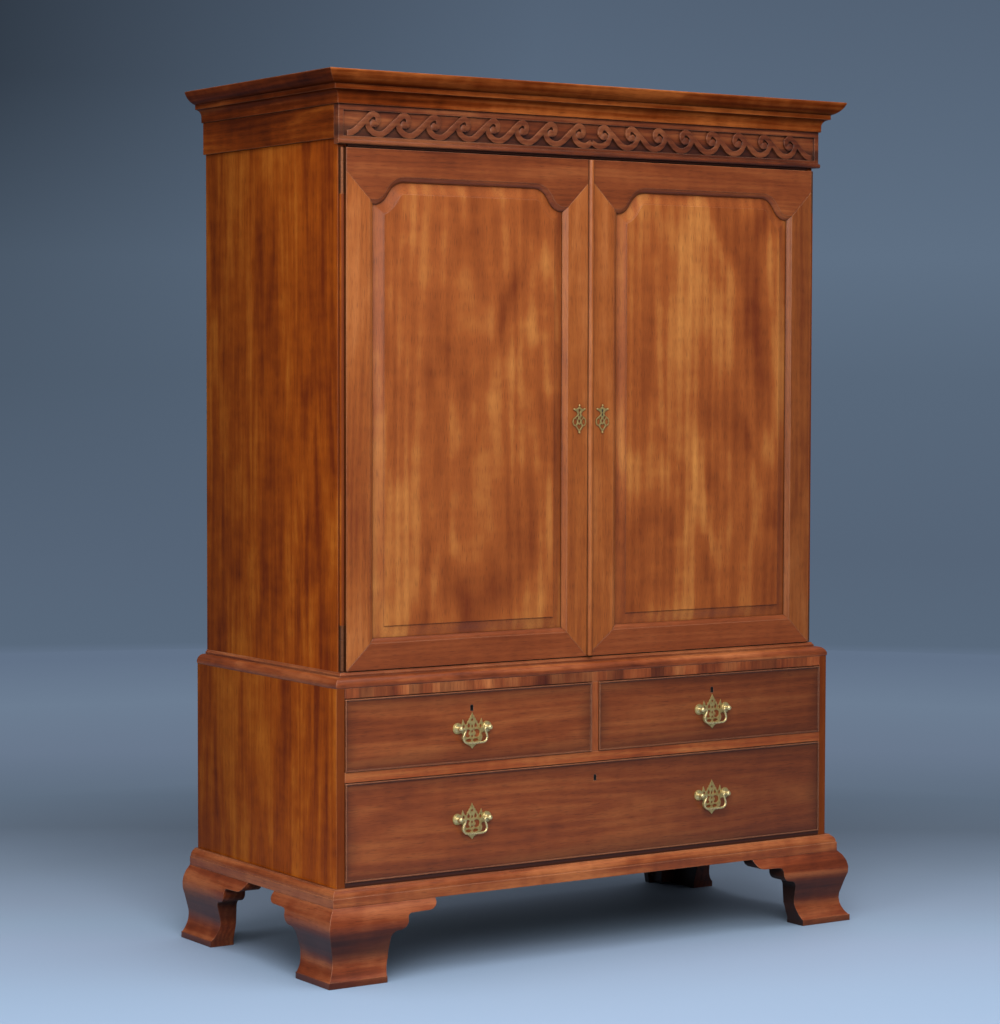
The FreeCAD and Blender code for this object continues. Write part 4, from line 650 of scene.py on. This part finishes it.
def both_sides(right):
    """An outline from its right half, from the top down to the bottom, mirrored to the left."""
    return right + [(-x, z, *sharp) for x, z, *sharp in reversed(right) if x > 0.01]


def oval(x, z, wide, tall, lean=0.0):
    """An oval hole, leaning to the right by lean degrees."""
    turn = math.radians(lean)
    ring = [(wide * math.cos(n * math.pi / 4), tall * math.sin(n * math.pi / 4))
            for n in range(8)]
    return [(x + u * math.cos(turn) + v * math.sin(turn),
             z - u * math.sin(turn) + v * math.cos(turn)) for u, v in ring]


def turned(rings, place, sides=28):
    """A turned piece. Each ring is its radius and its distance out from place, in millimetres."""
    bpy.ops.object.select_all(action="DESELECT")
    first = rings[0]
    centre = (place[0], place[1] - first[1] / 1000, place[2])
    bpy.ops.mesh.primitive_circle_add(vertices=sides, radius=first[0] / 1000, fill_type="NGON",
                                      rotation=(math.radians(90), 0, 0), location=centre)
    bpy.ops.object.transform_apply(location=True, rotation=True, scale=True)
    edit_whole()
    for (near_size, near), (size, out) in zip(rings, rings[1:]):
        bpy.ops.mesh.extrude_region_move(
            TRANSFORM_OT_translate={"value": (0, -(out - near) / 1000, 0)})
        share = size / near_size
        bpy.ops.transform.resize(value=(share, 1, share), center_override=place)
    bpy.ops.mesh.select_all(action="SELECT")
    bpy.ops.mesh.normals_make_consistent(inside=False)
    bpy.ops.object.mode_set(mode="OBJECT")
    return bpy.context.object


def again(piece, shift):
    """A copy of a piece with its own mesh, shifted to where it stands."""
    other = duplicated(piece)
    other.location = shift
    bpy.ops.object.transform_apply(location=True, rotation=False, scale=False)
    return other


def joined(pieces, smooth=40):
    """Several meshes as one, shaded smooth except at its corners."""
    bpy.ops.object.select_all(action="DESELECT")
    for piece in pieces:
        piece.select_set(True)
    bpy.context.view_layer.objects.active = pieces[0]
    if len(pieces) > 1:
        bpy.ops.object.join()
    whole = bpy.context.object
    bpy.ops.object.shade_smooth_by_angle(angle=math.radians(smooth))
    return whole


def remaining(node, is_left):
    """The solids of a frame node for which is_left(lowest, highest corner) holds, as one mesh."""
    copied(node, shaped=True)
    edit_whole()
    bpy.ops.mesh.separate(type="LOOSE")
    bpy.ops.object.mode_set(mode="OBJECT")
    kept = []
    for part in list(bpy.context.selected_objects):
        places = [vertex.co for vertex in part.data.vertices]
        lowest, highest = (Vector([pick(place[axis] for place in places) for axis in range(3)])
                           for pick in (min, max))
        if is_left(lowest, highest):
            kept.append(part)
        else:
            bpy.data.objects.remove(part)
    return joined(kept, smooth=34)


# A handle: a pierced plate with a tall stepped spire between two spirelets, round ends behind
# two turned posts with ball heads, and a cast bail that swings in the heads.
PLATE = both_sides([
    (0, 34.5, 1), (2.6, 28.5, 1), (5.4, 26.2, 1), (5.8, 22.6, 1), (9.2, 20.4, 1), (9.6, 16.6, 1),
    (13.4, 14.2, 1), (14.0, 9.6, 1), (17.4, 7.0, 1), (19.4, 8.8), (22.0, 14.0), (24.8, 20.0, 1),
    (26.8, 13.6), (28.4, 8.4, 1), (31.5, 10.2), (38.5, 12.6), (47.4, 9.0), (51.1, 0),
    (47.4, -9.0), (38.5, -12.6), (31.0, -10.6), (27.6, -11.4, 1), (25.0, -14.5), (26.6, -18.5),
    (27.2, -23.5), (24.4, -29.6), (18.0, -34.6), (10.5, -38.6), (5.0, -42.2), (0, -48.0, 1)])
HOLES = [[(0, 21.2, 1), (3.4, 17.6, 1), (0, 14.0, 1), (-3.4, 17.6, 1)], oval(0, 3.0, 2.0, 3.6),
         oval(0, -8.7, 2.2, 3.0), oval(0, -19.6, 2.2, 2.8)]
for turn in (1, -1):
    HOLES += [
        [(turn * 9.2, 11.4, 1), (turn * 12.6, 2.4), (turn * 9.2, 0.4), (turn * 5.8, 2.4)],
        oval(turn * 22.4, 2.6, 2.6, 4.2),
        [(turn * x, z) for x, z in ((5.8, -6.6), (11.6, -3.8), (18.2, -6.8), (19.8, -13.4),
                                    (16.4, -19.8), (9.8, -21.4), (6.0, -18.6), (9.2, -15.0),
                                    (9.0, -10.4))],
        [(turn * x, z) for x, z in ((2.4, -28.8), (5.2, -25.4), (11.0, -25.0), (16.0, -28.0),
                                    (10.6, -31.2), (5.0, -31.6))]]
POST = [(9.6, 0), (9.6, 0.8), (8.4, 1.5), (6.4, 1.3), (4.6, 1.7), (3.5, 3.0), (3.2, 5.2),
        (3.6, 7.0), (5.0, 8.3), (6.2, 10.4), (6.6, 12.6), (6.3, 14.8), (5.3, 17.0), (3.7, 18.7),
        (1.9, 19.5), (0.3, 19.75)]
DRAWER_FACE = -0.302
POST_FOOT = DRAWER_FACE - 0.002                 # the posts stand on the plates
HALF_SPACING = 0.0385
HANDLE_X = 0.33825
plate = pierced(PLATE, HOLES, (0, DRAWER_FACE, 0))
post = turned(POST, (0, POST_FOOT, 0))
for side, spots, level in (("left", (-HANDLE_X,), 0.5385), ("right", (HANDLE_X,), 0.5385),
                           ("long", (-HANDLE_X, HANDLE_X), 0.335)):
    plates, posts = [], []
    for x in spots:
        plates.insert(0, again(plate, (x, 0, level)))
        for turn in (-1, 1):
            posts.append(again(post, (x + turn * HALF_SPACING, 0, level)))
    node = f"{side}_drawer_brasses"
    lock = remaining(node, lambda low, high: low.y > DRAWER_FACE - 0.001)
    finished(joined(plates), f"{side}_drawer_plates", node, plate_brass)
    finished(joined(posts), f"{side}_drawer_posts", node, brass)
    finished(lock, f"{side}_drawer_lock", node, lock_steel)
for pattern in (plate, post):
    bpy.data.objects.remove(pattern)

# The bails are cast round, a little fuller than the rods of the frame.
for node in ("left_drawer_bail", "right_drawer_bail", "long_drawer_bail_left",
             "long_drawer_bail_right"):
    bail = copied(node, shaped=True)
    edit_whole()
    bpy.ops.mesh.tris_convert_to_quads(face_threshold=math.radians(2))
    bpy.ops.object.mode_set(mode="OBJECT")
    applied(bail, "SUBSURF", levels=2, render_levels=2)
    edit_whole()
    bpy.ops.transform.shrink_fatten(value=0.0004)
    bpy.ops.object.mode_set(mode="OBJECT")
    bpy.ops.object.shade_smooth()
    finished(bail, f"{node}_piece", node, brass)

# A keyhole plate: a ball, a roof with upturned tips, a neck round the keyhole, and a lattice
# that narrows to a second ball.
KEY_PLATE = both_sides([
    (0, 33.6), (2.2, 31.6), (1.2, 29.2), (3.8, 26.2), (8.4, 23.7), (13.0, 24.4), (15.2, 23.2),
    (13.6, 20.8), (9.6, 18.8), (6.4, 15.4), (5.0, 11.8), (7.6, 8.2), (12.6, 4.6), (17.0, 0.2),
    (18.6, -4.8), (17.6, -10.8), (14.6, -14.8), (11.4, -15.4, 1), (8.2, -18.8), (4.6, -24.0),
    (2.0, -27.6), (2.5, -30.2), (0, -32.4)])
LATTICE = [[(-1.7, 7.6, 1), (1.7, 7.6, 1), (1.2, 16.2), (2.7, 20.2), (0, 23.4), (-2.7, 20.2),
            (-1.2, 16.2)],
           oval(-6.0, 2.6, 3.0, 3.2), oval(6.2, 3.0, 2.6, 4.4, lean=28),
           oval(-0.2, -4.4, 2.8, 4.0), oval(-11.4, -5.6, 4.8, 7.4), oval(11.8, -6.0, 4.8, 7.4),
           [(-6.2, -15.6), (-3.4, -10.8), (0.2, -12.6), (3.6, -10.4), (6.2, -15.2),
            (3.6, -20.4), (0, -24.0, 1), (-3.6, -20.4)]]
BALL = [(1.2, 0), (2.0, 0.9), (2.3, 1.9), (2.0, 2.9), (1.2, 3.6), (0.2, 3.9)]
BALL_SPOTS = ((0, 31.6), (-14.4, 23.2), (14.4, 23.2), (0, -30.2))
# A near-black sheet behind the right door's keyhole stands for the dark inside it: painted shade.
KEYHOLE_SHADE = [(-2.0, 7.2, 1), (2.0, 7.2, 1), (3.0, 20.2), (0, 23.8), (-3.0, 20.2)]
DOOR_FACE = -0.279
KEY_X = 0.0324
KEY_LEVEL = 1.224
keyhole_shade_material = cast_brass("painted_keyhole_shade", "#120d09", "#0a0705", 0.6, metal=0.0)
ball = turned(BALL, (0, DOOR_FACE, KEY_LEVEL), sides=12)
balls = [again(ball, (x / 1000, 0, z / 1000)) for x, z in BALL_SPOTS]
key_plate = joined([pierced(KEY_PLATE, LATTICE, (0, DOOR_FACE, KEY_LEVEL))] + balls)
for side, x in (("left", -KEY_X), ("right", KEY_X)):
    node = f"{side}_door_brasses"
    keyhole = again(key_plate, (x, 0, 0))
    hinges = remaining(node, lambda low, high: low.y > DOOR_FACE - 0.0005 or abs(low.x) > 0.5)
    finished(keyhole, f"{side}_door_key_plate", node, plate_brass)
    finished(hinges, f"{side}_door_hinges", node, dark_brass)
for pattern in (ball, key_plate):
    bpy.data.objects.remove(pattern)
keyhole_shade = pierced(KEYHOLE_SHADE, [], (KEY_X, DOOR_FACE, KEY_LEVEL), thick=0.0007)
finished(joined([keyhole_shade]), "right_door_keyhole_shade", "right_door_brasses", keyhole_shade_material)
eased("carcase_hinge_leaves", dark_brass, edge=0.0003, shaped=True)
for node in ("left_door_top_bolt", "left_door_bottom_bolt", "right_door_lock_bolt"):
    eased(node, steel, edge=0.0003, shaped=True)

# ---------------------------------------------------------------- studio
# A pale blue-grey painted floor with a painted pool of light before the press, under plain
# soft lamps, which runs out into an even grey-blue backdrop.
# The camera is turned this far from the front of the press, tilted down and rolled.
TURN, TILT, ROLL = math.radians(33.56), math.radians(2.86), math.radians(0.14)
bpy.ops.mesh.primitive_circle_add(vertices=96, radius=7.0, fill_type="NGON")
floor = bpy.context.object
floor.name = "studio_floor"
paint = bpy.data.materials.new("painted_floor")
paint.use_nodes = True
tree = paint.node_tree
tree.nodes.clear()
place = add(tree, "ShaderNodeTexCoord").outputs["Object"]
away = add(tree, "ShaderNodeVectorMath", {0: place}, operation="LENGTH").outputs["Value"]
# The paint's tone follows the distance ahead of the camera, and farther out the distance from
# the press on every side, as painted light: brightest before the press and dimmer behind it.
# The stops are spread over 10 m, from 2 m before the press on.
ahead = add(tree, "ShaderNodeVectorMath", {0: place, 1: (math.sin(TURN), math.cos(TURN), 0)},
            operation="DOT_PRODUCT").outputs["Value"]
outer = add(tree, "ShaderNodeMapRange", {"Value": away, "From Min": 2.4, "From Max": 5.6})
reach = add(tree, "ShaderNodeMix", {0: outer.outputs[0], 2: ahead, 3: away},
            data_type="FLOAT")
cloud = add(tree, "ShaderNodeTexNoise", {"Vector": place, "Scale": 1.7, "Detail": 4.0})
uneven = add(tree, "ShaderNodeMath", {0: cloud.outputs["Fac"], 1: 0.16, 2: reach.outputs[0]},
             operation="MULTIPLY_ADD")
share = add(tree, "ShaderNodeMapRange",
            {"Value": uneven.outputs[0], "From Min": -1.92, "From Max": 8.08})
colour = add(tree, "ShaderNodeValToRGB", {"Fac": share.outputs[0]},
             stops=((0.128, "#9ab1cc"), (0.860, "#627288"), (0.181, "#99acc6"),
                    (0.204, "#94a9c1"), (0.230, "#8e9fb6"), (0.257, "#8697ad"),
                    (0.286, "#7b8b9f"), (0.318, "#6e7d90"), (0.349, "#616f80"),
                    (0.410, "#5f6e80"), (0.530, "#69788d"), (0.680, "#6c7d92")))
# Under the chest the paint is darkened where it is occluded, as a painted shadow.
under = add(tree, "ShaderNodeAmbientOcclusion", {"Distance": 0.45}, samples=8)
painted_shadow = add(tree, "ShaderNodeMapRange",
            {"Value": under.outputs["AO"], "From Min": 0.15, "From Max": 0.85,
             "To Min": 0.64})
dull = add(tree, "ShaderNodeVectorMath", {0: colour.outputs["Color"], 1: painted_shadow.outputs[0]},
           operation="MULTIPLY")
near_paint = add(tree, "ShaderNodeBsdfPrincipled",
                 {"Base Color": dull.outputs[0], "Roughness": 0.6, "Specular IOR Level": 0.2})
# Past the shadow the floor shows its own colour evenly, and runs out into the backdrop.
far_paint = add(tree, "ShaderNodeEmission", {"Color": colour.outputs["Color"]})
far = add(tree, "ShaderNodeMapRange", {"Value": away, "From Min": 1.5, "From Max": 2.6})
both = add(tree, "ShaderNodeMixShader",
           {0: far.outputs[0], 1: near_paint.outputs[0], 2: far_paint.outputs[0]})
# The paint throws little light back up, so that the hollows under the chest stay dark.
dim_paint = add(tree, "ShaderNodeBsdfDiffuse", {"Color": linear("#3a4048")})
ray = add(tree, "ShaderNodeLightPath").outputs
seen = add(tree, "ShaderNodeMath", {0: ray["Is Camera Ray"], 1: ray["Is Glossy Ray"]},
           operation="MAXIMUM")
shown = add(tree, "ShaderNodeMixShader",
            {0: seen.outputs[0], 1: dim_paint.outputs[0], 2: both.outputs[0]})
add(tree, "ShaderNodeOutputMaterial", {"Surface": shown.outputs[0]})
floor.data.materials.append(paint)

world = bpy.data.worlds.new("studio_air")
bpy.context.scene.world = world
world.use_nodes = True
tree = world.node_tree
tree.nodes.clear()
way = add(tree, "ShaderNodeTexCoord").outputs["Generated"]
way = add(tree, "ShaderNodeSeparateXYZ", {0: way}).outputs
height = add(tree, "ShaderNodeMapRange",
             {"Value": way["Z"], "From Min": -0.0985, "From Max": 0.13})
backdrop = add(tree, "ShaderNodeValToRGB", {"Fac": height.outputs[0]},
               stops=((0.0, "#627288"), (1.0, "#536275"), (0.016, "#59697c"), (0.15, "#566578"),
                      (0.42, "#58687b"), (0.60, "#5f7084")))
# The backdrop grows dusky to the upper left.
left = add(tree, "ShaderNodeMapRange",
           {"Value": way["X"], "From Min": 0.56, "From Max": 0.39, "To Max": 0.68})
high = add(tree, "ShaderNodeMapRange", {"Value": way["Z"], "From Min": -0.065, "From Max": 0.10})
dusk = add(tree, "ShaderNodeMath", {0: left.outputs[0], 1: high.outputs[0]},
           operation="MULTIPLY")
dim = add(tree, "ShaderNodeMath", {0: 1.0, 1: dusk.outputs[0]}, operation="SUBTRACT")
dimmed = add(tree, "ShaderNodeVectorMath", {0: backdrop.outputs["Color"], 1: dim.outputs[0]},
             operation="MULTIPLY")
ray = add(tree, "ShaderNodeLightPath").outputs
seen = add(tree, "ShaderNodeMath", {0: ray["Is Camera Ray"], 1: ray["Is Glossy Ray"]},
           operation="MAXIMUM")
seen = add(tree, "ShaderNodeMath", {0: seen.outputs[0], 1: ray["Is Transmission Ray"]},
           operation="MAXIMUM")
# The air gives most light from above and little from near the floor.
overhead = add(tree, "ShaderNodeMapRange",
               {"Value": way["Z"], "From Min": 0.0, "From Max": 0.6, "To Min": 0.08,
                "To Max": 0.62})
light = add(tree, "ShaderNodeBackground",
            {"Color": linear("#dcdde0"), "Strength": overhead.outputs[0]})
shown = add(tree, "ShaderNodeBackground", {"Color": dimmed.outputs[0], "Strength": 1.0})
both = add(tree, "ShaderNodeMixShader",
           {0: seen.outputs[0], 1: light.outputs[0], 2: shown.outputs[0]})
add(tree, "ShaderNodeOutputWorld", {"Surface": both.outputs[0]})

for name, spot, aim, size, power in (
        ("key_lamp", (-2.4, -4.4, 3.9), (0, 0, 1.0), 3.6, 280.0),
        ("side_lamp", (-5.2, -2.0, 2.2), (0, 0, 0.9), 2.0, 70.0),
        ("front_lamp", (-0.3, -7.0, 2.0), (0, 0, 1.2), 2.0, 36.0),
        ("top_lamp", (0.0, -1.0, 4.6), (0, 0, 0), 3.0, 90.0)):
    bpy.ops.object.light_add(type="AREA", location=spot)
    lamp = bpy.context.object
    lamp.name = name
    lamp.data.shape = "SQUARE"
    lamp.data.size = size
    lamp.data.energy = power
    lamp.rotation_euler = (Vector(aim) - Vector(spot)).to_track_quat("-Z", "Y").to_euler()

bpy.ops.object.camera_add()
camera = bpy.context.object
camera.name = "camera"
camera.matrix_world = (Matrix.Translation((-3.81343, -5.65213, 1.33925))
                       @ Matrix.Rotation(-TURN, 4, "Z")
                       @ Matrix.Rotation(math.radians(90) - TILT, 4, "X")
                       @ Matrix.Rotation(ROLL, 4, "Z"))
camera.data.lens = 100.88
bpy.context.scene.camera = camera
bpy.context.scene.view_settings.view_transform = "Standard"
